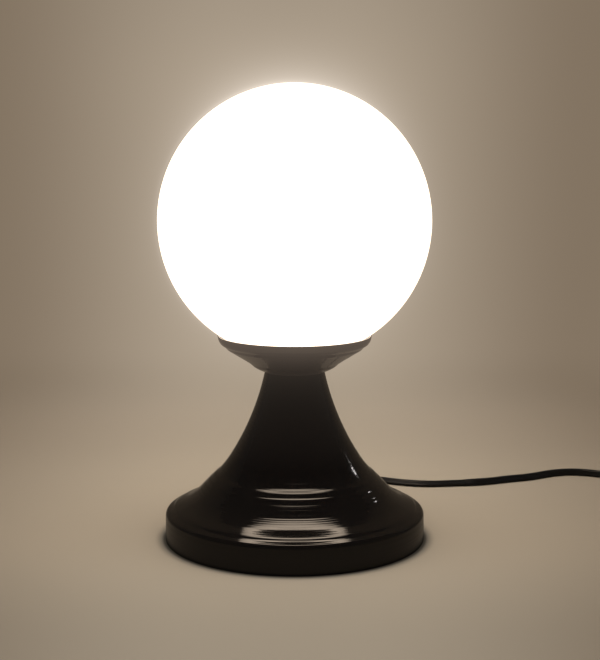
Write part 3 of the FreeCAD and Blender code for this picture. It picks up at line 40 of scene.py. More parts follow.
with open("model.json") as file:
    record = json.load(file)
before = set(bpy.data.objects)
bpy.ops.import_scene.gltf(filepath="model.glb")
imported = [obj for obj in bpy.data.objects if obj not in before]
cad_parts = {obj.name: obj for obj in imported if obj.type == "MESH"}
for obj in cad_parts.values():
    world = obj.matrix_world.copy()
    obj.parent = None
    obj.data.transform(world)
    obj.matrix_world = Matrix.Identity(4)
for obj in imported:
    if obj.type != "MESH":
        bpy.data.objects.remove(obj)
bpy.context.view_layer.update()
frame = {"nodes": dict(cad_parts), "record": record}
MM = 0.001
SHARP_FROM = 40.0

# The stand in millimetres: its rounded top, the stem's arc, how steep its ledges and foot are
# (length along the surface, then the degrees by which it faces up), the rim and the band, which
# rows its inner face keeps, and the hole for the flex

STAND_HOLE = 5.2
STAND_TOP = (21.8, 128)
TOP_ROUND = 0.3
TOP_TURN, TOP_STEPS = 78.6, 8
STEM_END = (49.5, 60.7)
STEM_RADIUS = 195
STEM_STEPS = 40
SLOPES = [
    (0, 33.1), (3, 36.2), (8, 39.3), (10.4, 40.6), (11.2, 42), (12.1, 45.5), (13.1, 49.4),
    (14.1, 52), (14.9, 52.9), (15.8, 50.8), (16.6, 46.5), (17.6, 42), (18.7, 42), (19.6, 46.8),
    (20.5, 49.7), (21.2, 49.2), (21.9, 46.4), (22.8, 39.5), (23.3, 38.4), (23.8, 39.5), (24.3, 42),
    (25, 45.2), (25.9, 47.2), (26.7, 46), (27.6, 43), (29, 42.5), (32.8, 43), (34.2, 44.5),
    (35.3, 47.6), (36.6, 49.8), (38.6, 51.4), (40.8, 53.2), (43, 55.4), (45, 58.8),
    (46.5, 61.8), (48, 64.4), (50.6, 66.6), (52.4, 67), (53.4, 63.5), (54.3, 57.5), (55.3, 51.5),
    (56, 52), (57, 59), (58, 65.5), (66, 66),
]
SLOPE_STEP = 0.25
RIM_ROUND = 3.6
RIM_STEPS = 14
BAND_SLOPE = 0.8
BAND_END = (96.95, 0.1)
INSIDE_EVERY, INSIDE_WHOLE = 7, 14
EXIT_HOLE = (5.1, 9)
EXIT_CUT = (85, 105)

# The gallery in millimetres: from the lip over the stem's head up to the rim, and down inside

GALLERY_HOLE = (5.2, 128, 129.2)
GALLERY_OUTSIDE = [
    (21.6, 128), (22.15, 127.8), (22.3, 127.1), (22.8, 126.75), (24.2, 127.2), (27.3, 128.6),
    (30.4, 130.4), (32.2, 131.9), (33.7, 133.2), (38.2, 136.2), (43.2, 139.3), (47.8, 142.2),
    (49.9, 143.5), (51, 144.6), (51.9, 145.6), (53.1, 146.4), (54.5, 147.4), (55.4, 148.5),
    (56.2, 150), (56.7, 151.8), (56.88, 153.2), (56.7, 153.6), (56.3, 153.75), (55.9, 153.6),
]
GALLERY_INSIDE = [
    (55.7, 152.9), (55.4, 151.4), (54.7, 149.9), (53.8, 148.7), (52.5, 147.7), (51.2, 146.8),
    (50.1, 145.8), (48.8, 144.5), (47, 143.2), (42.4, 140.4), (37.4, 137.3), (32.8, 134.2),
    (31.3, 132.9), (29.6, 131.6), (26.9, 130.3), (24, 129.5), (20.5, 129.2),
]

# The two screw threads in millimetres: radii and heights below and above the thread, and the
# thread itself as its radius, depth and two ends

THREAD_PITCH = 3.63
THREAD_STEPS = 120
THREAD_ROW, THREAD_FADE = 0.3, 1.6
CAP_BELOW = [(10.55, 166.65), (11.9, 166.65), (12.2, 166.95)]
CAP_THREAD = (12.2, 0.92, 167.2, 185.6)
CAP_ABOVE = [
    (12.2, 185.9), (12.9, 186.2), (13.1, 186.6), (13.1, 188.3), (12.9, 188.6), (11.7, 188.6),
    (11.7, 168.4), (10.55, 167.8),
]
SLEEVE_FLOOR = [(9.55, 165), (9.55, 165.5), (13.1, 165.5), (13.3, 165.8)]
SLEEVE_INSIDE, SLEEVE_OUTSIDE, SLEEVE_THREAD = 13.3, 13.75, (0.85, 166, 185)
SLEEVE_LIP = [(13.3, 186.7), (13.75, 187), (13.9, 186.7), (13.75, 186.2)]
SLEEVE_FOOT = [(13.75, 165.4), (13.4, 165)]

# The inline switch in millimetres: the middle of its parting line, then from there to an end its
# half width, the heights of its halves, and how square its section is

SWITCH_PLACE = (318, 50, 7.5)
SWITCH_END = 42
SWITCH_ROW = 0.5
SWITCH_WIDTHS = [(0, 13.5), (13, 13.5), (28.5, 8), (30.5, 5.2), (41.6, 4.9), (42, 4.5)]
TOP_HEIGHTS = [(0, 8.5), (15, 8.5), (28.5, 6.8), (30.5, 5.2), (41.6, 4.9), (42, 4.5)]
BOTTOM_HEIGHTS = [(0, 7.5), (15, 7.5), (28.5, 7.5), (30.5, 5.2), (41.6, 4.9), (42, 4.5)]
SWITCH_SQUARE = [(0, 4.6), (24, 4), (30.5, 2.2), (42, 2.2)]
SEAM_DEPTH, SEAM_SHARE = 0.25, 0.35
WINDOW_HALF = (6.5, 12)
WINDOW_HEIGHTS = (1.8, 20)
WINDOW_SQUARE = 14
PIVOT_HOLE = (8.8, 11, 1.5)
SCREW_SINKS = [(-9, -14), (9, 14)]
SINK_RADIUS, SINK_TOP = 2.9, 2.1

# The strain relief in millimetres: half width, half height and place along y of its rings

RELIEF_HEAD = [
    (3.3, 2.1, 93.1), (6.3, 6.3, 93.1), (6.6, 6.6, 93.4), (6.6, 6.6, 94.8), (5, 5, 95),
    (5, 5, 96.82), (6.5, 6.5, 96.86), (6.9, 6.9, 97.2), (6.9, 6.9, 98.5), (6.6, 6.6, 98.9),
]
RELIEF_RIBS = (99.1, 119.4)
RELIEF_RADIUS, RELIEF_TAPERS = 5.6, (1.3, 2.4)
RIB_COUNT, RIB_DEPTH, RIB_ROWS = 6.5, 0.75, 140
RELIEF_TIP = [(4.2, 3.1, 120.2), (3.9, 2.8, 120.7), (3.5, 2.3, 120.9), (3.2, 2, 120.7)]

# The plug in millimetres: the middle of its rear end, then along it its half width, half height,
# how flat its sides are and how round it is, and its grip rings

PLUG_PLACE = (410.8, 42, 7)
PLUG_LENGTH = 49
PLUG_ROWS = 196
PLUG_WIDTHS = [(0, 4), (0.6, 4.3), (11, 5.2), (16, 7.6), (37, 17.6), (47.6, 17.6), (49, 16.9)]
PLUG_HEIGHTS = [(0, 4), (0.6, 4.3), (11, 5.2), (19, 6.8), (47.6, 6.8), (49, 6.1)]
PLUG_FLATS = [(0, 0.5), (11, 0.5), (22, 0.62), (49, 0.65)]
PLUG_ROUNDS = [(0, 1), (10, 1), (20, 0), (49, 0)]
GRIP_START, GRIP_END, GRIP_PITCH, GRIP_DEPTH = 15, 29.4, 2.4, 0.45

# The flex from the strain relief's end to the switch, as in the source, in metres

FLEX_POINTS = [
    (0.0, 0.121, 0.009), (0.0, 0.1375, 0.009), (0.0073, 0.1528, 0.0068), (0.0205, 0.1635, 0.004),
    (0.038, 0.1677, 0.0022), (0.0634, 0.1616, 0.002), (0.088, 0.148, 0.002),
    (0.112, 0.1415, 0.002), (0.14, 0.146, 0.0024), (0.16, 0.1465, 0.0032),
    (0.185, 0.1585, 0.0046), (0.203, 0.164, 0.005), (0.223, 0.1768, 0.005),
    (0.241, 0.1825, 0.0046), (0.259, 0.179, 0.0036), (0.279, 0.167, 0.0032),
    (0.297, 0.151, 0.0032), (0.311, 0.131, 0.0036), (0.318, 0.111, 0.0075), (0.318, 0.092, 0.0075),
]

# Along x in metres: by how many degrees the flat flex is tilted, 90 being on its edge, and how far
# it is lowered onto the paper, 1 being all the way but for a small gap

FLEX_TILTS = [
    (0, 0), (0.03, 0), (0.06, -36), (0.1, -36), (0.125, -30), (0.14, -30), (0.16, -80),
    (0.18, -62), (0.21, -62), (0.235, -88), (0.29, -88), (0.317, 0), (0.4, 0),
]
PAPER_GAP = 0.1 * MM
FLEX_RESTS = [(0, 0), (0.03, 0), (0.06, 1), (0.29, 1), (0.315, 0), (0.4, 0)]

# From the switch down to the coil's lower layer, and from the coil to the plug, in metres

LINK_POINTS = [
    (0.318, 0.008, 0.0075), (0.318, -0.006, 0.0075), (0.318, -0.02, 0.0042),
    (0.318, -0.0338, 0.0042),
]
TAIL_POINTS = [
    (0.4108, -0.0338, 0.011), (0.4108, -0.01485, 0.011), (0.4108, 0.0041, 0.0082),
    (0.4108, 0.02305, 0.007), (0.4108, 0.042, 0.007),
]

# The coil: it winds inwards, crosses to the upper layer in half a turn and winds outwards again.
# Its middles and heights are in millimetres, the rest in metres.

COIL_OUTER, COIL_INNER, COIL_PITCH = 45.55 * MM, 27.7 * MM, 6.8 * MM
COIL_TURNS, COIL_IN, COIL_OVER = 5.5, 2.5, 3
COIL_STEPS = 16
COIL_MIDDLES = [(363.55, -40.85, 0), (365.25, -40.85, 0)]
COIL_BULGE, COIL_SLACK = 0.85 * MM, 0.2 * MM
COIL_HEIGHT, COIL_LAYER = 4.2, 6.8
COIL_ENTRY, COIL_LEAVE = 0.045, 0.07

# In metres: the place the lamp is seen from, the small bright window behind it, and how large the
# ball and the foot are for the paper's painted halo and painted contact shadow

EYE = (0.00392, -1.03, 0.3113)
WINDOW_PLACE = (1.82, 1.07, 1.0)
WINDOW_AIM = (0, 0, 0.06)
BALL_SEEN = 0.0975
FOOT_REACH = 0.0975
BLACK = (0.0, 0.0, 0.0)


def hexed(text):
    """A display colour such as 1a2b3c as linear red, green and blue."""
    parts = [int(text[i : i + 2], 16) / 255 for i in (0, 2, 4)]
    return tuple(p / 12.92 if p <= 0.04045 else ((p + 0.055) / 1.055) ** 2.4 for p in parts)


class LampStage(bpy.types.PropertyGroup):
    """The surroundings, the lights and the camera."""

    lens: FloatProperty(
        name="Lens", description="Focal length of the camera", default=76.9, unit="CAMERA"
    )
    camera_place: FloatVectorProperty(
        name="Camera place", description="Where the camera stands", default=EYE, subtype="XYZ"
    )
    camera_pitch: FloatProperty(
        name="Camera pitch",
        description="How far it looks down",
        default=radians(8.52),
        subtype="ANGLE",
    )
    paper: FloatVectorProperty(
        name="Paper", description="Colour of the backdrop", default=hexed("afa08d"), subtype="COLOR"
    )
    # The paper's colour at the sides, which carries the painted shade there
    paper_edge: FloatVectorProperty(
        name="Paper edge", description="Colour far out", default=hexed("847563"), subtype="COLOR"
    )
    room_light: FloatProperty(
        name="Room light", description="Brightness of the soft room light", default=1.0
    )


class LampFinish(bpy.types.PropertyGroup):
    """Colours and lustre of the lamp."""

    enamel: FloatVectorProperty(
        name="Enamel", description="Colour of the enamel", default=hexed("0f0c0a"), subtype="COLOR"
    )
    enamel_roughness: FloatProperty(
        name="Enamel roughness", description="Haze of the enamel", default=0.075
    )
    glass: FloatVectorProperty(
        name="Glass", description="Colour of the glass", default=hexed("f7f4ee"), subtype="COLOR"
    )
    glow: FloatVectorProperty(
        name="Glow", description="Colour of its light", default=(1.0, 0.81, 0.63), subtype="COLOR"
    )
    glow_strength: FloatProperty(
        name="Glow strength", description="Brightness of the lit glass", default=8.0
    )
    sheath: FloatVectorProperty(
        name="Sheath", description="Colour of the flex", default=hexed("090706"), subtype="COLOR"
    )


class LampShape(bpy.types.PropertyGroup):
    """Sizes of the pieces that are made here."""

    turn_steps: IntProperty(
        name="Turn steps", description="Steps round the turned pieces", default=240
    )
    shell_wall: FloatProperty(
        name="Shell wall", description="Thickness of the sheet", default=1.2 * MM, unit="LENGTH"
    )
    flex_width: FloatProperty(
        name="Flex width", description="Width of the flat flex", default=6.2 * MM, unit="LENGTH"
    )
    flex_thickness: FloatProperty(
        name="Flex thickness", description="Its thickness", default=3.8 * MM, unit="LENGTH"
    )


# Shader sockets in Python arithmetic, and the builder of a material


class Signal:
    """A shader output that takes part in Python arithmetic by adding Math nodes."""

    def __init__(self, finish, socket):
        self.finish = finish
        self.socket = socket

    def maths(self, operation, *terms):
        return self.finish.node("Math", {"operation": operation}, dict(enumerate(terms)))

    def __add__(self, other):
        return self.maths("ADD", self, other)

    __radd__ = __add__

    def __sub__(self, other):
        return self.maths("SUBTRACT", self, other)

    def __rsub__(self, other):
        return self.maths("SUBTRACT", other, self)

    def __mul__(self, other):
        return self.maths("MULTIPLY", self, other)

    __rmul__ = __mul__

    def __truediv__(self, other):
        return self.maths("DIVIDE", self, other)

    def __pow__(self, other):
        return self.maths("POWER", self, other)

    def root(self):
        return self.maths("SQRT", self)

    def size(self):
        return self.maths("ABSOLUTE", self)

    def at_least(self, low):
        return self.maths("MAXIMUM", self, low)

    def power_of_e(self):
        return self.maths("EXPONENT", self)

    def between(self, low, high):
        """0 at low and 1 at high, smooth and held outside them."""
        settings = {"interpolation_type": "SMOOTHSTEP", "clamp": True}
        return self.finish.node("MapRange", settings, {0: self, 1: low, 2: high, 3: 0.0, 4: 1.0})


class Finish:
    """Builds the node tree of one material."""

    def __init__(self, name, tree=None):
        if tree is None:
            self.material = bpy.data.materials.new(name)
            self.material.use_nodes = True
            tree = self.material.node_tree
        self.tree = tree
        self.tree.nodes.clear()

    def join(self, socket, value):
        if isinstance(value, Signal):
            self.tree.links.new(value.socket, socket)
        elif isinstance(value, (tuple, list)) and len(value) == 3 and socket.type == "RGBA":
            socket.default_value = (*value, 1.0)
        else:
            socket.default_value = value

    def node(self, kind, settings=None, inputs=None, output=0):
        """Adds a node, its settings first, then the values or links of its sockets."""
        made = self.tree.nodes.new("ShaderNode" + kind)
        for key, setting in (settings or {}).items():
            setattr(made, key, setting)
        for key, value in (inputs or {}).items():
            self.join(made.inputs[key], value)
        return Signal(self, made.outputs[output])

    def place(self):
        """Position on the piece, in metres."""
        return self.node("TexCoord", output="Object")

    def axes(self, vector=None):
        split = self.node("SeparateXYZ", inputs={0: vector or self.place()})
        return [Signal(self, split.socket.node.outputs[k]) for k in range(3)]

    def noise(self, scale, detail=2.0, roughness=0.5, stretch=None):
        """Noise with grains of 1 / scale metres, finer on an axis that stretch multiplies."""
        at = self.place()
        if stretch:
            at = self.node("VectorMath", {"operation": "MULTIPLY"}, {0: at, 1: stretch})
        inputs = {"Vector": at, "Scale": scale, "Detail": detail, "Roughness": roughness}
        return self.node("TexNoise", None, inputs)

    def line_noise(self, at, scale, detail=2.0, roughness=0.5):
        """Noise along one number."""
        inputs = {"W": at, "Scale": scale, "Detail": detail, "Roughness": roughness}
        return self.node("TexNoise", {"noise_dimensions": "1D"}, inputs)

    def blend(self, factor, low, high, kind="MIX"):
        settings = {"data_type": "RGBA", "blend_type": kind}
        return self.node("Mix", settings, {0: factor, 6: low, 7: high}, output=2)

    def bump(self, height, distance, strength=1.0, under=None):
        inputs = {"Height": height, "Distance": distance, "Strength": strength}
        if under:
            inputs["Normal"] = under
        return self.node("Bump", None, inputs)

    def surface(self, **sockets):
        """The finished material: a Principled shader with these sockets."""
        inputs = {key.replace("_", " "): value for key, value in sockets.items()}
        self.node_output(self.node("BsdfPrincipled", None, inputs))
        return self.material

    def node_output(self, shader, kind="Material"):
        out = self.tree.nodes.new("ShaderNodeOutput" + kind)
        self.tree.links.new(shader.socket, out.inputs["Surface"])


# Finishes of the lamp, one function each


def spun_enamel(name):
    """Gloss black enamel over spun sheet: fine rings that follow the spinning tool, and the lit
    ball's painted glow near it.
    """
    look = bpy.context.scene.lamp_finish
    f = Finish(name)
    x, y, z = f.axes()
    along = (x * x + y * y).root() - z
    coarse = f.line_noise(along, 420.0, 1.0, 0.4)
    fine = f.line_noise(along, 1500.0, 2.0, 0.6)
    lines = coarse * (f.noise(18.0, 1.0) * 0.6 + 0.7) + fine * 0.16
    under = f.bump(f.noise(26.0, 1.0), 0.00035)
    normal = f.bump(lines, 0.00011, 1.0, under)
    dust = f.noise(2600.0).between(0.66, 0.78)
    upward = f.axes(f.node("NewGeometry", output="Normal"))[2].between(0.35, 0.95)
    colour = f.blend(dust * upward * 0.05, tuple(look.enamel), hexed("6e6459"))
    rough = f.noise(90.0, 3.0) * 0.05 + (look.enamel_roughness - 0.02) + dust * 0.08
    # Painted light: a warm emitted glow, stronger up towards the lit ball, that stands in for its
    # light on the enamel
    near = f.node("MapRange", {"clamp": True}, {0: z, 1: 0.06, 2: 0.156, 3: 0.0, 4: 1.0})
    painted_ball_glow = near**6 * 0.1 + near * 0.02
    glow = f.node("VectorMath", {"operation": "SCALE"}, {0: (1.0, 0.78, 0.62), "Scale": painted_ball_glow})
    return f.surface(
        Base_Color=colour,
        Roughness=rough,
        Normal=normal,
        IOR=1.5,
        Emission_Color=glow,
        Emission_Strength=1.0,
    )


def opal_glass(name):
    """Blown opal glass that is lit from inside: white and glossy, much dimmer at its neck."""
    look = bpy.context.scene.lamp_finish
    f = Finish(name)
    z = f.axes()[2]
    normal = f.bump(f.noise(9.0, 1.0), 0.0004)
    neck = z.between(0.1395, 0.156)
    glow = f.blend(neck, (0.45, 0.43, 0.42), tuple(look.glow))
    slant = f.node("LayerWeight", None, {"Blend": 0.5}, output="Facing")
    glow = f.blend(slant * 0.8, glow, BLACK)
    milk = f.blend(f.noise(30.0) * 0.10, tuple(look.glass), hexed("efe9dc"))
    return f.surface(
        Base_Color=milk,
        Roughness=f.noise(40.0) * 0.03 + 0.04,
        Normal=normal,
        Emission_Color=glow,
        Emission_Strength=look.glow_strength,
    )


def flex_sheath(name):
    """Soft black sheath of the flex: satin, faintly mottled, with a few scuffs."""
    look = bpy.context.scene.lamp_finish
    f = Finish(name)
    mottle = f.noise(300.0, 3.0, 0.6)
    scuff = f.noise(120.0, 4.0, 0.7).between(0.62, 0.74)
    colour = f.blend(mottle * 0.3, tuple(look.sheath), hexed("171413"))
    colour = f.blend(scuff * 0.10, colour, hexed("332e2b"))
    normal = f.bump(f.noise(1400.0, 3.0), 0.00003, 0.6)
    return f.surface(Base_Color=colour, Roughness=mottle * 0.10 + 0.33, Normal=normal)


def moulded(name, colour, rough):
    """Moulded plastic or rubber: a fine spark-eroded grain and a slight mottle."""
    f = Finish(name)
    mottle = f.noise(90.0, 3.0, 0.6)
    shade = f.blend(mottle * 0.3, colour, tuple(min(1.0, c * 1.6 + 0.004) for c in colour))
    normal = f.bump(f.noise(2600.0), 0.00003, 0.8)
    return f.surface(Base_Color=shade, Roughness=mottle * 0.10 + (rough - 0.05), Normal=normal)


def turned_metal(name, colour, rough):
    """Bright turned or drawn metal: rings round its axis and small handling marks."""
    f = Finish(name)
    x, y, z = f.axes()
    rings = f.line_noise((x * x + y * y).root() + z, 5200.0, 2.0, 0.6)
    marks = f.noise(160.0, 4.0, 0.7)
    shade = f.blend(marks * 0.35, colour, tuple(c * 0.72 for c in colour))
    normal = f.bump(rings, 0.00002, 0.7)
    rough = marks * 0.18 + (rough - 0.07)
    return f.surface(Base_Color=shade, Metallic=1.0, Roughness=rough, Normal=normal)


def cast_metal(name, colour):
    """Rough sand casting, dark with a little rust in its hollows."""
    f = Finish(name)
    grain = f.noise(520.0, 4.0, 0.65)
    lumps = f.noise(70.0, 3.0, 0.6)
    rust = lumps.between(0.58, 0.76)
    shade = f.blend(rust * 0.5, colour, hexed("4f3526"))
    normal = f.bump(grain * 0.7 + lumps * 0.6, 0.0005, 0.8)
    return f.surface(Base_Color=shade, Metallic=0.55, Roughness=grain * 0.25 + 0.5, Normal=normal)


def felted(name, colour):
    """Pressed felt: short fibres in every direction."""
    f = Finish(name)
    fibres = f.noise(900.0, 5.0, 0.75, stretch=(1.0, 2.6, 1.0))
    cross = f.noise(1100.0, 5.0, 0.75, stretch=(2.6, 1.0, 1.0))
    mix = fibres * 0.5 + cross * 0.5
    light = tuple(min(1.0, c * 2.4 + 0.01) for c in colour)
    shade = f.blend(mix.between(0.35, 0.7), colour, light)
    normal = f.bump(mix, 0.0006, 0.9)
    return f.surface(Base_Color=shade, Roughness=0.95, Normal=normal, Sheen_Weight=0.4)


def painted_sheet(name, colour):
    """Thin satin paint over sheet metal."""
    f = Finish(name)
    peel = f.noise(700.0)
    worn = f.noise(45.0, 4.0, 0.7).between(0.66, 0.74)
    shade = f.blend(worn * 0.4, colour, tuple(min(1.0, c * 2.0 + 0.02) for c in colour))
    normal = f.bump(peel, 0.00005, 0.7)
    return f.surface(Base_Color=shade, Roughness=peel * 0.1 + 0.36, Normal=normal)


def glazed(name, colour):
    """Glazed porcelain: smooth and bright with a faint pooling of the glaze."""
    f = Finish(name)
    pool = f.noise(160.0)
    shade = f.blend(pool * 0.25, colour, tuple(c * 0.86 for c in colour))
    normal = f.bump(pool, 0.00008, 0.5)
    return f.surface(Base_Color=shade, Roughness=0.12, Normal=normal, Coat_Weight=0.5)


def frosted_dome(name):
    """The bulb's frosted dome, lit."""
    f = Finish(name)
    grain = f.noise(1800.0)
    shade = f.blend(grain * 0.1, hexed("f4f3ee"), hexed("e6e3da"))
    normal = f.bump(grain, 0.00002, 0.5)
    glow = f.blend(f.noise(60.0, 1.0) * 0.1, (1.0, 0.94, 0.86), (1.0, 0.90, 0.80))
    return f.surface(
        Base_Color=shade,
        Roughness=0.38,
        Normal=normal,
        Emission_Color=glow,
        Emission_Strength=4.0,
    )


# How each of the record's slots is finished: the function and what it takes

FINISHES = {
    "black_enamel": (spun_enamel,),
    "opal_glass": (opal_glass,),
    "flex_sheath": (flex_sheath,),
    "bulb_frosted": (frosted_dome,),
    "cast_iron": (cast_metal, hexed("3b3a38")),
    "felt": (felted, hexed("1d1c1b")),
    "cover_steel": (painted_sheet, hexed("1b1a19")),
    "porcelain": (glazed, hexed("ece9e0")),
    "zinc_steel": (turned_metal, hexed("b4b4b0"), 0.34),
    "spring_steel": (turned_metal, hexed("8f8e8a"), 0.30),
    "brass": (turned_metal, hexed("b8924c"), 0.28),
    "nickel": (turned_metal, hexed("c9c6c0"), 0.20),
    "black_rubber": (moulded, hexed("100f0f"), 0.46),
    "bakelite": (moulded, hexed("17110e"), 0.24),
    "black_plastic": (moulded, hexed("121212"), 0.34),
    "rocker_plastic": (moulded, hexed("171717"), 0.22),
    "tie_plastic": (moulded, hexed("161616"), 0.50),
    "cap_glass": (moulded, hexed("101012"), 0.18),
    "bulb_white": (moulded, hexed("ecece8"), 0.34),
    "brown_insulation": (moulded, hexed("5a3420"), 0.42),
    "blue_insulation": (moulded, hexed("2f5fa8"), 0.42),
    "circuit_white": (moulded, hexed("e6e6e2"), 0.40),
    "circuit_green": (moulded, hexed("2d5a3a"), 0.38),
}


SLOT_OF = {part["node"]: part["material_slot"] for part in frame["record"]["subparts"]}
BODY_OF = {
    node: body for body, nodes in frame["record"]["behaviour"]["bodies"].items() for node in nodes
}
MADE = {}


def material(name, make, *values):
    """The one material of that name, made when it is first asked for."""
    if name not in MADE:
        MADE[name] = make(name, *values)
    return MADE[name]


def placed(name, data):
    """A new object in the scene."""
    made = bpy.data.objects.new(name, data)
    bpy.context.scene.collection.objects.link(made)
    return made


def new_piece(name, mesh, stands_for):
    """A mesh piece that rides where its CAD nodes do, and replaces them."""
    mesh.name = name
    piece = placed(name, mesh)
    slot = SLOT_OF[stands_for[0]]
    mesh.materials.append(material(slot, *FINISHES[slot]))
    mesh.shade_smooth()
    mesh.set_sharp_from_angle(angle=radians(SHARP_FROM))
    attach(piece, BODY_OF[stands_for[0]])
    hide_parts(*stands_for)
    return piece


def mesh_of(made):
    """The mesh of a bmesh, which is freed."""
    mesh = bpy.data.meshes.new("made")
    made.to_mesh(mesh)
    made.free()
    return mesh


def skin_mesh(sections, caps=None):
    """A skin through rings of points.

    Caps are the middles of its shut ends. Without them the last ring is joined to the first.
    """
    made = bmesh.new()
    rings = [[made.verts.new(spot) for spot in section] for section in sections]
    count = len(rings[0])
    for low, high in zip(rings, rings[1:] if caps else rings[1:] + rings[:1]):
        for k in range(count):
            made.faces.new((low[k], low[(k + 1) % count], high[(k + 1) % count], high[k]))
    if caps:
        for ring, cap, flip in ((rings[0], caps[0], True), (rings[-1], caps[1], False)):
            middle = made.verts.new(cap)
            for k in range(count):
                corner = (middle, ring[k], ring[(k + 1) % count])
                made.faces.new(corner[::-1] if flip else corner)
    bmesh.ops.recalc_face_normals(made, faces=made.faces)
    return mesh_of(made)


def lathe_mesh(loop, steps, pitch=1.0):
    """A closed outline of radii and heights in millimetres, turned round the lamp's axis.

    A third number is how far a screw thread of that pitch swells there.
    """
    sections = []
    for radius, height, *swell in loop:
        section = []
        for turn in circle(steps):
            wave = 0.5 + 0.5 * cos(2 * pi * height / pitch - turn)
            reach = radius + (swell[0] * wave if swell else 0.0)
            section.append((reach * cos(turn) * MM, reach * sin(turn) * MM, height * MM))
        sections.append(section)
    return skin_mesh(sections)


def circle(steps):
    """The angles of so many points round a circle."""
    return [2 * pi * k / steps for k in range(steps)]


def bar_mesh(start, end, radius):
    """A round bar between two points in millimetres."""
    ends = [Vector(start) * MM, Vector(end) * MM]
    along = (ends[1] - ends[0]).normalized()
    side = along.orthogonal().normalized()
    other = along.cross(side)
    rings = []
    for middle in ends:
        spokes = [(side * cos(a) + other * sin(a)) * radius * MM for a in circle(40)]
        rings.append([middle + spoke for spoke in spokes])
    return skin_mesh(rings, ends)


def baked(piece):
    """The piece with its modifiers made part of its mesh."""
    bpy.context.view_layer.update()
    whole = piece.evaluated_get(bpy.context.evaluated_depsgraph_get())
    mesh = bpy.data.meshes.new_from_object(whole)
    piece.modifiers.clear()
    piece.data = mesh
    return piece


def cut(piece, tool_mesh):
    """Takes a solid out of a piece."""
    tool = placed("tool", tool_mesh)
    step = piece.modifiers.new("cut", "BOOLEAN")
    step.object = tool
    step.operation = "DIFFERENCE"
    step.solver = "EXACT"
    baked(piece)
    bpy.data.objects.remove(tool)


def walked(spot, slope, step):
    """The next point of an outline, a step down a slope given in degrees."""
    slope = radians(slope)
    return spot[0] + step * sin(slope), spot[1] - step * cos(slope)


def arc(start, end, radius):
    """Points along a hollow arc between two points of an outline, without the last one."""
    across, down = end[0] - start[0], start[1] - end[1]
    heading = degrees(atan2(across, down))
    half = asin(hypot(across, down) / 2 / radius)
    points = [start]
    for k in range(STEM_STEPS - 1):
        slope = heading + degrees(half) * (2 * (k + 0.5) / STEM_STEPS - 1)
        points.append(walked(points[-1], slope, 2 * radius * half / STEM_STEPS))
    return points


def slope_at(gone, table):
    """The table's value at a distance, eased between its entries."""
    for (a, low), (b, high) in zip(table, table[1:]):
        if gone <= b:
            share = min(1.0, max(0.0, (gone - a) / (b - a)))
            return low + (high - low) * share * share * (3 - 2 * share)
    return table[-1][1]


def stand_outside():
    """The stand's outside from its hole at the top to the foot's lower edge."""
    top, height = STAND_TOP
    points = [(STAND_HOLE, height)]
    for k in range(TOP_STEPS + 1):
        turn = radians(90 - TOP_TURN * k / TOP_STEPS)
        across, up = TOP_ROUND * cos(turn), TOP_ROUND * sin(turn)
        points.append((top - TOP_ROUND + across, height - TOP_ROUND + up))
    points += arc(STAND_TOP, STEM_END, STEM_RADIUS)[1:]
    foot_slope = SLOPES[-1][1]
    steep, flat = radians(BAND_SLOPE), radians(foot_slope)
    rim_out = RIM_ROUND * (cos(steep) - cos(flat))
    rim_down = RIM_ROUND * (sin(flat) - sin(steep))
    lean = tan(steep)
    end, low = BAND_END
    spot, gone = STEM_END, 0.0
    while spot[0] + rim_out < end - (spot[1] - rim_down - low) * lean:
        points.append(spot)
        spot = walked(spot, slope_at(gone + SLOPE_STEP / 2, SLOPES), SLOPE_STEP)
        gone += SLOPE_STEP
    for k in range(RIM_STEPS):
        points.append(spot)
        slope = foot_slope + (BAND_SLOPE - foot_slope) * (k + 0.5) / RIM_STEPS
        spot = walked(spot, slope, RIM_ROUND * (flat - steep) / RIM_STEPS)
    while spot[1] > low + 0.6:
        points.append(spot)
        spot = (spot[0] + lean, spot[1] - 1.0)
    return points + [(end, low + 0.3), (end - 0.25, low)]


def inner_face(outside, wall):
    """The wall's other face with fewer points, from the lower edge back to the top."""
    inside = []
    for i, (r, z) in enumerate(outside):
        before, after = outside[max(i - 1, 0)], outside[min(i + 1, len(outside) - 1)]
        along = (after[0] - before[0], after[1] - before[1])
        length = hypot(*along)
        inside.append((r + along[1] / length * wall, z - along[0] / length * wall))
    rows = enumerate(inside)
    inside = [spot for k, spot in rows if k % INSIDE_EVERY == 0 or k < INSIDE_WHOLE]
    inside = [spot for spot in inside if spot[0] > STAND_HOLE - 0.01]
    inside[0] = (STAND_HOLE, inside[0][1])
    last = outside[-1]
    inside = [spot for spot in inside if spot[1] > last[1] + 1.0]
    inside.append((last[0] + 0.25 - wall, last[1]))
    return inside[::-1]


def eased(points, steps=4):
    """More points on a smooth line through the given ones."""
    line = []
    ends = [points[0], *points, points[-1]]
    for a, b, c, d in zip(ends, ends[1:], ends[2:], ends[3:]):
        for n in range(steps):
            t = n / steps
            spot = []
            for p, q, r, s in zip(a, b, c, d):
                bend = 2 * p - 5 * q + 4 * r - s + t * (3 * (q - r) + s - p)
                spot.append(q + t / 2 * (r - p + t * bend))
            line.append(tuple(spot))
    return line + [points[-1]]


def blocky(turn, half_width, half_height, squareness):
    """A point of an oval whose corners are squarer the higher squareness is, 2 being round."""
    across, up = cos(turn), sin(turn)
    wide = copysign(abs(across) ** (2 / squareness), across) * half_width
    tall = copysign(abs(up) ** (2 / squareness), up) * half_height
    return wide, tall


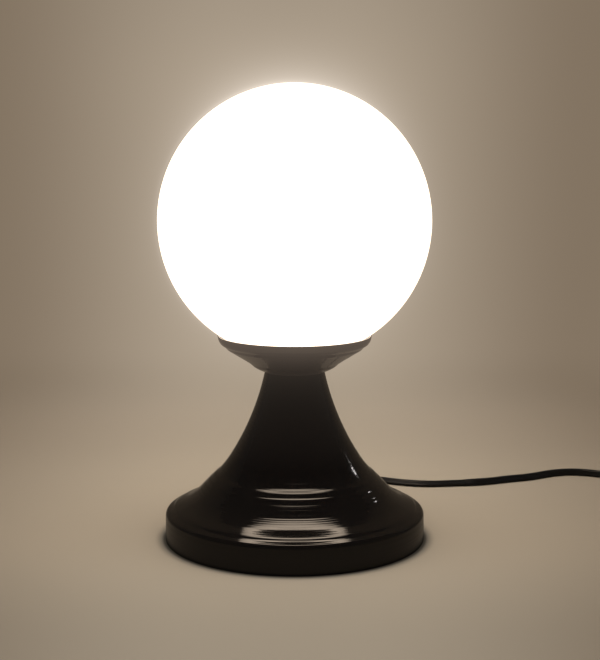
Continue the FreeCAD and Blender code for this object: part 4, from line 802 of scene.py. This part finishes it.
def smooth_line(points):
    """The points of the NURBS spline that has these control points."""
    curve = bpy.data.curves.new("line", "CURVE")
    curve.dimensions = "3D"
    curve.resolution_u = 12
    spline = curve.splines.new("NURBS")
    spline.points.add(len(points) - 1)
    for point, place in zip(spline.points, points):
        point.co = (*place, 1.0)
    spline.order_u = 3
    spline.use_endpoint_u = True
    holder = bpy.data.objects.new("line", curve)
    mesh = bpy.data.meshes.new_from_object(holder)
    line = [v.co.copy() for v in mesh.vertices]
    bpy.data.meshes.remove(mesh)
    bpy.data.objects.remove(holder)
    bpy.data.curves.remove(curve)
    return line


def flat_flex(line, tilts, width, thickness):
    """The twin flex: two cores side by side under one sheath, tilted about its own line."""
    flat, half = (width - thickness) / 2, thickness / 2
    sections = []
    for i, at in enumerate(line):
        ahead = (line[min(i + 1, len(line) - 1)] - line[max(i - 1, 0)]).normalized()
        level = ahead.cross(Vector((0, 0, 1))).normalized()
        above = level.cross(ahead).normalized()
        turn = radians(tilts[i])
        wide = level * cos(turn) + above * sin(turn)
        thin = above * cos(turn) - level * sin(turn)
        ring = []
        for angle in circle(28):
            across, up = cos(angle), sin(angle)
            groove = copysign(0.30 * half * exp(-((across / 0.25) ** 2)), up)
            reach = copysign(flat * min(1.0, abs(across) * 2.2), across)
            ring.append(at + wide * (reach + across * half) + thin * (up * half - groove))
        sections.append(ring)
    return skin_mesh(sections, (line[0], line[-1]))


def rest_on_paper(line, tilts, width, thickness):
    """Lowers the flex onto the paper where it hangs over it, and lifts it where it would sink."""
    for at, tilt in zip(line, tilts):
        half = (width - thickness) / 2 * abs(sin(radians(tilt))) + thickness / 2
        rest = half + PAPER_GAP
        at.z = max(rest, at.z + (rest - at.z) * slope_at(at.x, FLEX_RESTS))


def line_length(line):
    return sum((b - a).length for a, b in zip(line, line[1:]))


class LAMP_OT_stage(bpy.types.Operator):
    """Sets the pale paper, the lights and the camera."""

    bl_idname = "lamp.stage"
    bl_label = "Set the stage"

    def execute(self, context):
        stage = context.scene.lamp_stage
        camera = placed("camera", bpy.data.cameras.new("camera"))
        camera.data.lens = stage.lens
        camera.data.sensor_width = 36.0
        camera.location = stage.camera_place
        camera.rotation_euler = (radians(90) - stage.camera_pitch, 0, 0)
        context.scene.camera = camera
        context.scene.view_settings.view_transform = "Standard"
        self.paper()
        self.room(context, stage)
        self.window()
        return {"FINISHED"}

    def paper(self):
        """A sweep of paper: a floor that curves up to a wall behind."""
        made = bmesh.new()
        bend, wall, reach, height = 0.9, 2.2, 6.0, 4.0
        line = [(-reach, 0.0), (wall - bend, 0.0)]
        for k in range(1, 33):
            angle = radians(90 * k / 32)
            line.append((wall - bend + bend * sin(angle), bend - bend * cos(angle)))
        line.append((wall, height))
        rows = [[made.verts.new((x, y, z)) for x in (-reach, reach)] for y, z in line]
        for low, high in zip(rows, rows[1:]):
            made.faces.new((low[0], low[1], high[1], high[0]))
        mesh = mesh_of(made)
        mesh.shade_smooth()
        mesh.materials.append(material("paper", paper_finish))
        placed("paper", mesh)

    def window(self):
        """A small bright patch behind, at the right, that makes the small sparks."""
        data = bpy.data.lights.new("window", "AREA")
        data.shape = "DISK"
        data.size = 0.08
        data.energy = 0.5
        data.color = (1.0, 0.95, 0.93)
        window = placed("window", data)
        window.location = WINDOW_PLACE
        towards = Vector(WINDOW_AIM) - window.location
        window.rotation_euler = towards.to_track_quat("-Z", "Y").to_euler()

    def room(self, context, stage):
        """Soft light from above and behind, and a dim room in mirrored surfaces."""
        world = bpy.data.worlds.new("room")
        world.use_nodes = True
        context.scene.world = world
        f = Finish("room", world.node_tree)
        seen = f.node("LightPath", output="Is Camera Ray")
        mirrored = f.node("LightPath", output="Is Glossy Ray")
        _, back, up = f.axes(f.node("TexCoord", output="Generated"))
        dim = f.blend(up.between(-0.2, 0.6), (0.10, 0.09, 0.075), (0.035, 0.03, 0.027))
        open_side = (up * 0.7 + back * 0.6 + 0.15).between(0.0, 0.9)
        bright = tuple(c * stage.room_light for c in (1.87, 1.91, 1.93))
        soft = f.blend(open_side, (0.12, 0.12, 0.12), bright)
        colour = f.blend(mirrored, soft, dim)
        colour = f.blend(seen, colour, hexed("8a7b69"))
        f.node_output(f.node("Background", None, {"Color": colour}), "World")


def painted_ball_halo(x, z, away):
    """The lit ball's halo painted on the paper, strongest at its rim and above it."""
    rise = (z - EYE[2]) / away + 0.072
    across = x / away + 0.004
    apart = (across * across + rise * rise).root()
    past = (apart - BALL_SEEN).at_least(0.0)
    within = ((BALL_SEEN - 0.002 - apart).at_least(0.0) * -45).power_of_e()
    lift = (rise / apart.at_least(0.09)).at_least(0.0) ** 3
    broad = (past * -78).power_of_e() * (lift * 0.24 + 0.055)
    thin = (past * -700).power_of_e() * (lift * 0.10 + 0.05)
    return (broad + thin) * within


def paper_finish(name):
    """Pale paper, its light painted on: brightest in the middle, painted shade to the sides and in
    front, a painted shadow round the foot and the ball's painted halo.
    """
    stage = bpy.context.scene.lamp_stage
    f = Finish(name)
    x, y, z = f.axes()
    away = (y - EYE[1]).at_least(0.4)
    # Painted shade: the paper darkens towards the sides, more so in front
    widen = (1 - y.between(0.0, 0.7)) * 0.7 + 1
    edge = ((x / away + 0.01).size() / widen).between(0.03, 0.22)
    edge = edge + (0.35 - edge) * (1 - y.between(-0.75, -0.2))
    colour = f.blend(edge, tuple(stage.paper), tuple(stage.paper_edge))
    # Painted tint: cooler near the lamp, offsetting the warm light the ball casts on the paper
    out = (x * x + y * y).root()
    colour = f.blend(1 - out.between(0.15, 0.5), colour, (0.95, 0.985, 1.0), kind="MULTIPLY")
    # Painted shade: a little darker in a band behind the lamp
    behind = 1 - (y - 0.2).size().between(0.06, 0.3)
    colour = f.blend(behind * 0.09, colour, BLACK)
    # Painted contact shadow: darker close round the foot, in a wide soft ring and a tight dark one
    soft = 1 - out.between(FOOT_REACH, FOOT_REACH + 0.0085)
    tight_painted_shadow = 1 - out.between(FOOT_REACH, FOOT_REACH + 0.003)
    colour = f.blend(soft * 0.45 + tight_painted_shadow * 0.35, colour, BLACK)
    # Painted shade: darker in front of the lamp and, on the wall, towards its upper part
    colour = f.blend((1 - y.between(-0.22, 0.0)) * 0.2, colour, BLACK)
    colour = f.blend(z.between(0.36, 0.62) * (1 - edge) * 0.12, colour, BLACK)
    mirrored = f.node("LightPath", output="Is Glossy Ray")
    # The ball's painted halo, added as light to the paper's colour
    glow = painted_ball_halo(x, z, away)
    lit = f.node("VectorMath", {"operation": "SCALE"}, {0: (1.0, 0.93, 0.86), "Scale": glow})
    colour = f.blend(mirrored * 0.6, colour, BLACK)
    colour = f.blend(mirrored * x.size().between(1.2, 5.0), colour, (0.05, 0.045, 0.04))
    colour = f.blend(mirrored * (1 - y.between(-0.6, -0.1)) * 0.4, colour, BLACK)
    painted = f.node("VectorMath", {"operation": "ADD"}, {0: colour, 1: lit})
    painted = f.node("Emission", None, {"Color": painted})
    cloth = f.node("BsdfDiffuse", None, {"Color": colour, "Roughness": 0.5})
    far = y.between(0.25, 0.9)
    f.node_output(f.node("MixShader", None, {0: far * 0.95, 1: cloth, 2: painted}))
    return f.material


class LAMP_OT_gallery(bpy.types.Operator):
    """Spins the stepped gallery that carries the ball, with a lip over the stem's head."""

    bl_idname = "lamp.gallery"
    bl_label = "Spin the gallery"

    def execute(self, context):
        shape = context.scene.lamp_shape
        hole, low, high = GALLERY_HOLE
        loop = [(hole, low), *eased(GALLERY_OUTSIDE), *eased(GALLERY_INSIDE), (hole, high)]
        new_piece("gallery_cup", lathe_mesh(loop, shape.turn_steps), ["gallery"])
        return {"FINISHED"}


class LAMP_OT_stand(bpy.types.Operator):
    """Spins the stand: stem, ledges, foot and band in one shell, with the hole for the flex."""

    bl_idname = "lamp.stand"
    bl_label = "Spin the stand"

    def execute(self, context):
        shape = context.scene.lamp_shape
        outside = stand_outside()
        loop = outside + inner_face(outside, shape.shell_wall / MM)
        stand = new_piece("stand", lathe_mesh(loop, shape.turn_steps), ["stand_shell"])
        radius, height = EXIT_HOLE
        cut(stand, bar_mesh(*[(0, along, height) for along in EXIT_CUT], radius))
        return {"FINISHED"}


def thread_rows(radius, depth, low, high):
    """Rows of a lathe's outline for a round screw thread that fades out at both ends."""
    rows = []
    count = round((high - low) / THREAD_ROW)
    for k in range(count + 1):
        height = low + (high - low) * k / count
        share = min(1.0, (height - low) / THREAD_FADE, (high - height) / THREAD_FADE)
        rows.append((radius, height, depth * share * share * (3 - 2 * share)))
    return rows


class LAMP_OT_threads(bpy.types.Operator):
    """Rolls the screw threads of the bulb's cap and of the lampholder's sleeve."""

    bl_idname = "lamp.threads"
    bl_label = "Roll the threads"

    def execute(self, context):
        cap = [*CAP_BELOW, *thread_rows(*CAP_THREAD), *CAP_ABOVE]
        sleeve = [*SLEEVE_FLOOR, *thread_rows(SLEEVE_INSIDE, *SLEEVE_THREAD), *SLEEVE_LIP]
        sleeve += [*thread_rows(SLEEVE_OUTSIDE, *SLEEVE_THREAD)[::-1], *SLEEVE_FOOT]
        mesh = lathe_mesh(cap, THREAD_STEPS, THREAD_PITCH)
        new_piece("bulb_screw_cap", mesh, ["bulb_cap"])
        mesh = lathe_mesh(sleeve, THREAD_STEPS, THREAD_PITCH)
        new_piece("holder_screw_sleeve", mesh, ["thread_sleeve"])
        return {"FINISHED"}


def softened(name, node, width):
    """A node's solid with its sharp edges rounded, as it leaves its mould."""
    made = bmesh.new()
    made.from_mesh(frame["nodes"][node].data)
    bmesh.ops.remove_doubles(made, verts=made.verts, dist=0.00001)
    bmesh.ops.dissolve_limit(made, angle_limit=radians(1), verts=made.verts, edges=made.edges)
    piece = new_piece(name, mesh_of(made), [node])
    bevel = piece.modifiers.new("rounded", "BEVEL")
    bevel.width = width
    bevel.segments = 3
    bevel.limit_method = "ANGLE"
    bevel.angle_limit = radians(35)
    bevel.miter_outer = "MITER_ARC"
    return baked(piece)


class LAMP_OT_switch(bpy.types.Operator):
    """Moulds the inline switch: two rounded halves with a nose at each end, and the rocker."""

    bl_idname = "lamp.switch"
    bl_label = "Mould the switch"

    def execute(self, context):
        x, y, _ = SWITCH_PLACE
        bottom = self.half("switch_bottom", "switch_base", -1, BOTTOM_HEIGHTS)
        for across, along in SCREW_SINKS:
            ends = [(x + across, y + along, height) for height in (-1, SINK_TOP)]
            cut(bottom, bar_mesh(*ends, SINK_RADIUS))
        self.half("switch_top", "switch_cover", 1, TOP_HEIGHTS)
        softened("switch_key", "switch_rocker", 0.5 * MM)
        return {"FINISHED"}

    def half(self, name, node, side, heights):
        """One half with its share of the rocker's window and of the pivot's hole."""
        x, y, _ = SWITCH_PLACE
        reach, height, radius = PIVOT_HOLE
        piece = new_piece(name, self.half_mesh(side, heights), [node])
        cut(piece, self.window_mesh())
        cut(piece, bar_mesh((x - reach, y, height), (x + reach, y, height), radius))
        return piece

    def half_mesh(self, side, heights):
        """A half above or below the parting line, with a fine groove along that line."""
        x, y, parting = SWITCH_PLACE
        rings, middles = [], []
        for k in range(round(2 * SWITCH_END / SWITCH_ROW) + 1):
            off = SWITCH_ROW * k - SWITCH_END
            wide, tall, square = [
                slope_at(abs(off), table) for table in (SWITCH_WIDTHS, heights, SWITCH_SQUARE)
            ]
            ring = []
            for n in range(33):
                across, up = blocky(pi * n / 32, wide, tall, square)
                seam = SEAM_DEPTH * max(0.0, 1 - up / SEAM_SHARE)
                across -= copysign(min(seam, abs(across)), across)
                ring.append(((x + across) * MM, (y + off) * MM, (parting + up * side) * MM))
            middles.append((x * MM, (y + off) * MM, (parting + tall / 2 * side) * MM))
            rings.append(ring)
        return skin_mesh(rings, (middles[0], middles[-1]))

    def window_mesh(self):
        """The opening for the rocker: an upright bar with rounded corners."""
        x, y, _ = SWITCH_PLACE
        spots = [blocky(turn, *WINDOW_HALF, WINDOW_SQUARE) for turn in circle(48)]
        rings = [
            [((x + a) * MM, (y + b) * MM, height * MM) for a, b in spots]
            for height in WINDOW_HEIGHTS
        ]
        return skin_mesh(rings, [(x * MM, y * MM, z * MM) for z in WINDOW_HEIGHTS])


def oval(half_width, half_height, along):
    """An upright oval ring round the flex at its exit, a distance along y, in millimetres."""
    height = EXIT_HOLE[1]
    return [
        (half_width * cos(a) * MM, along * MM, (height + half_height * sin(a)) * MM)
        for a in circle(64)
    ]


class LAMP_OT_relief(bpy.types.Operator):
    """Moulds the ribbed sleeve that keeps the flex from kinking at the foot."""

    bl_idname = "lamp.relief"
    bl_label = "Mould the strain relief"

    def execute(self, context):
        start, end = RELIEF_RIBS
        ribbed = []
        for k in range(RIB_ROWS + 1):
            share = k / RIB_ROWS
            wave = max(0.0, sin(2 * pi * (RIB_COUNT * share - 0.1)))
            groove = wave**0.6 * RIB_DEPTH * min(1.0, (1 - share) * 8)
            wide, tall = [RELIEF_RADIUS - taper * share - groove for taper in RELIEF_TAPERS]
            ribbed.append((wide, tall, start + (end - start) * share))
        rings = [oval(*ring) for ring in (*RELIEF_HEAD, *ribbed, *RELIEF_TIP)]
        new_piece("flex_sleeve", skin_mesh(rings), ["strain_relief"])
        return {"FINISHED"}


class LAMP_OT_plug(bpy.types.Operator):
    """Moulds the plug and its grip, and the strap round the coil."""

    bl_idname = "lamp.plug"
    bl_label = "Mould the plug"

    def execute(self, context):
        new_piece("plug_moulding", self.plug_mesh(), ["plug_body"])
        softened("coil_strap", "coil_tie", 0.3 * MM)
        return {"FINISHED"}

    def plug_mesh(self):
        """A slim two-pin plug: a round nose that widens into a flat body with a ringed grip."""
        x, y, z = PLUG_PLACE
        tables = (PLUG_WIDTHS, PLUG_HEIGHTS, PLUG_FLATS, PLUG_ROUNDS)
        rings = []
        for k in range(PLUG_ROWS + 1):
            off = PLUG_LENGTH * k / PLUG_ROWS
            wide, tall, flat, round_share = [slope_at(off, table) for table in tables]
            grip = 0.0
            if GRIP_START < off < GRIP_END:
                turn = 2 * pi * (off - GRIP_START) / GRIP_PITCH
                grip = GRIP_DEPTH * (0.5 - 0.5 * cos(turn))
            ring = self.outline(wide - grip, tall - grip * 0.7, flat, round_share)
            rings.append([((x + a) * MM, (y + off) * MM, (z + b) * MM) for a, b in ring])
        ends = [(x * MM, (y + off) * MM, z * MM) for off in (0, PLUG_LENGTH)]
        return skin_mesh(rings, ends)

    def outline(self, wide, tall, flat, round_share):
        """A six-sided outline with rounded corners, or an oval where round_share is 1."""
        spots = []
        for turn in circle(72):
            across, up = cos(turn), sin(turn)
            edge = abs(across) / wide + abs(up) / tall * (1 - flat)
            reach = 1 / max(edge, abs(up) / tall)
            oval_reach = 1 / hypot(across / wide, up / tall)
            reach += (oval_reach - reach) * round_share
            spots.append((reach * across, reach * up))
        for _ in range(3):
            trios = zip([spots[-1], *spots[:-1]], spots, [*spots[1:], spots[0]])
            spots = [
                tuple(0.25 * p + 0.5 * q + 0.25 * r for p, q, r in zip(*trio)) for trio in trios
            ]
        return spots


class LAMP_OT_flex(bpy.types.Operator):
    """Lays the free flex: the run to the switch, and the coil with its plug."""

    bl_idname = "lamp.flex"
    bl_label = "Lay the flex"

    def execute(self, context):
        shape = context.scene.lamp_shape
        section = (shape.flex_width, shape.flex_thickness)
        line = smooth_line(FLEX_POINTS)
        tilts = [slope_at(p.x, FLEX_TILTS) for p in line]
        rest_on_paper(line, tilts, *section)
        run = new_piece("flex_to_switch", flat_flex(line, tilts, *section), ["flex_run"])
        names = ("switch_bottom", "switch_top", "switch_key", "flex_sleeve")
        on_run = [bpy.data.objects[name] for name in names]
        names = ("contact_bridge", "switch_contacts", "switch_screws")
        on_run += [frame["nodes"][name] for name in names]
        line = smooth_line(coil_points())
        mesh = flat_flex(line, self.coil_tilts(line), *section)
        coil = new_piece("flex_to_plug", mesh, ["flex_link", "flex_coil", "flex_tail"])
        return {"FINISHED"}

    def coil_tilts(self, line):
        """On its edge in the coil, flat where it meets the switch and the plug."""
        length = line_length(line)
        tilts = []
        gone = 0.0
        for i, at in enumerate(line):
            if i:
                gone += (at - line[i - 1]).length
            share = min(1.0, gone / COIL_ENTRY, (length - gone) / COIL_LEAVE)
            tilts.append(90.0 * share * share * (3 - 2 * share))
        return tilts


def coil_points():
    """Control points from the switch round the coil, in and then out on top, to the plug."""
    widen = 1 / cos(pi / COIL_STEPS)
    first, last = [Vector(middle) * MM for middle in COIL_MIDDLES]
    points = [Vector(p) for p in LINK_POINTS]
    for k in range(1, int(COIL_TURNS * COIL_STEPS)):
        turn = k / COIL_STEPS
        if turn <= COIL_IN:
            reach, over = COIL_OUTER - turn * COIL_PITCH, 0.0
        elif turn < COIL_OVER:
            over = (turn - COIL_IN) / (COIL_OVER - COIL_IN)
            reach = COIL_INNER + COIL_BULGE * (1 - sin(pi * over)) + COIL_SLACK
        else:
            reach, over = COIL_OUTER - (COIL_TURNS - turn) * COIL_PITCH, 1.0
        over = over * over * (3 - 2 * over)
        angle = pi + 2 * pi * turn
        arm = Vector((cos(angle), sin(angle), 0)) * reach * widen
        spot = first.lerp(last, over) + arm
        spot.z = (COIL_HEIGHT + COIL_LAYER * over) * MM
        points.append(spot)
    return points + [Vector(p) for p in TAIL_POINTS]


class LAMP_OT_nodes(bpy.types.Operator):
    """Gives every carried-over piece its finish."""

    bl_idname = "lamp.nodes"
    bl_label = "Finish the pieces"

    def execute(self, context):
        for name, node in sorted(frame["nodes"].items()):
            slot = SLOT_OF[name]
            node.data.materials.clear()
            node.data.materials.append(material(slot, *FINISHES[slot]))
        return {"FINISHED"}


class LAMP_PT_panel(bpy.types.Panel):
    """Lists the lamp's steps."""

    bl_idname = "LAMP_PT_panel"
    bl_label = "Lamp"
    bl_space_type = "VIEW_3D"
    bl_region_type = "UI"
    bl_category = "Lamp"

    def draw(self, context):
        for step in STEPS:
            self.layout.operator(step.bl_idname)


GROUPS = {"lamp_stage": LampStage, "lamp_finish": LampFinish, "lamp_shape": LampShape}
STEPS = [
    LAMP_OT_stage, LAMP_OT_nodes, LAMP_OT_stand, LAMP_OT_gallery, LAMP_OT_threads,
    LAMP_OT_switch, LAMP_OT_relief, LAMP_OT_plug, LAMP_OT_flex,
]
CLASSES = [*GROUPS.values(), *STEPS, LAMP_PT_panel]


def register():
    for item in CLASSES:
        bpy.utils.register_class(item)
    for name, group in GROUPS.items():
        setattr(bpy.types.Scene, name, PointerProperty(type=group))


def unregister():
    for name in GROUPS:
        delattr(bpy.types.Scene, name)
    for item in reversed(CLASSES):
        bpy.utils.unregister_class(item)


def main():
    register()
    bpy.ops.lamp.stage()
    bpy.ops.lamp.nodes()
    bpy.ops.lamp.stand()
    bpy.ops.lamp.gallery()
    bpy.ops.lamp.threads()
    bpy.ops.lamp.switch()
    bpy.ops.lamp.relief()
    bpy.ops.lamp.plug()
    bpy.ops.lamp.flex()


if __name__ == "__main__":
    main()
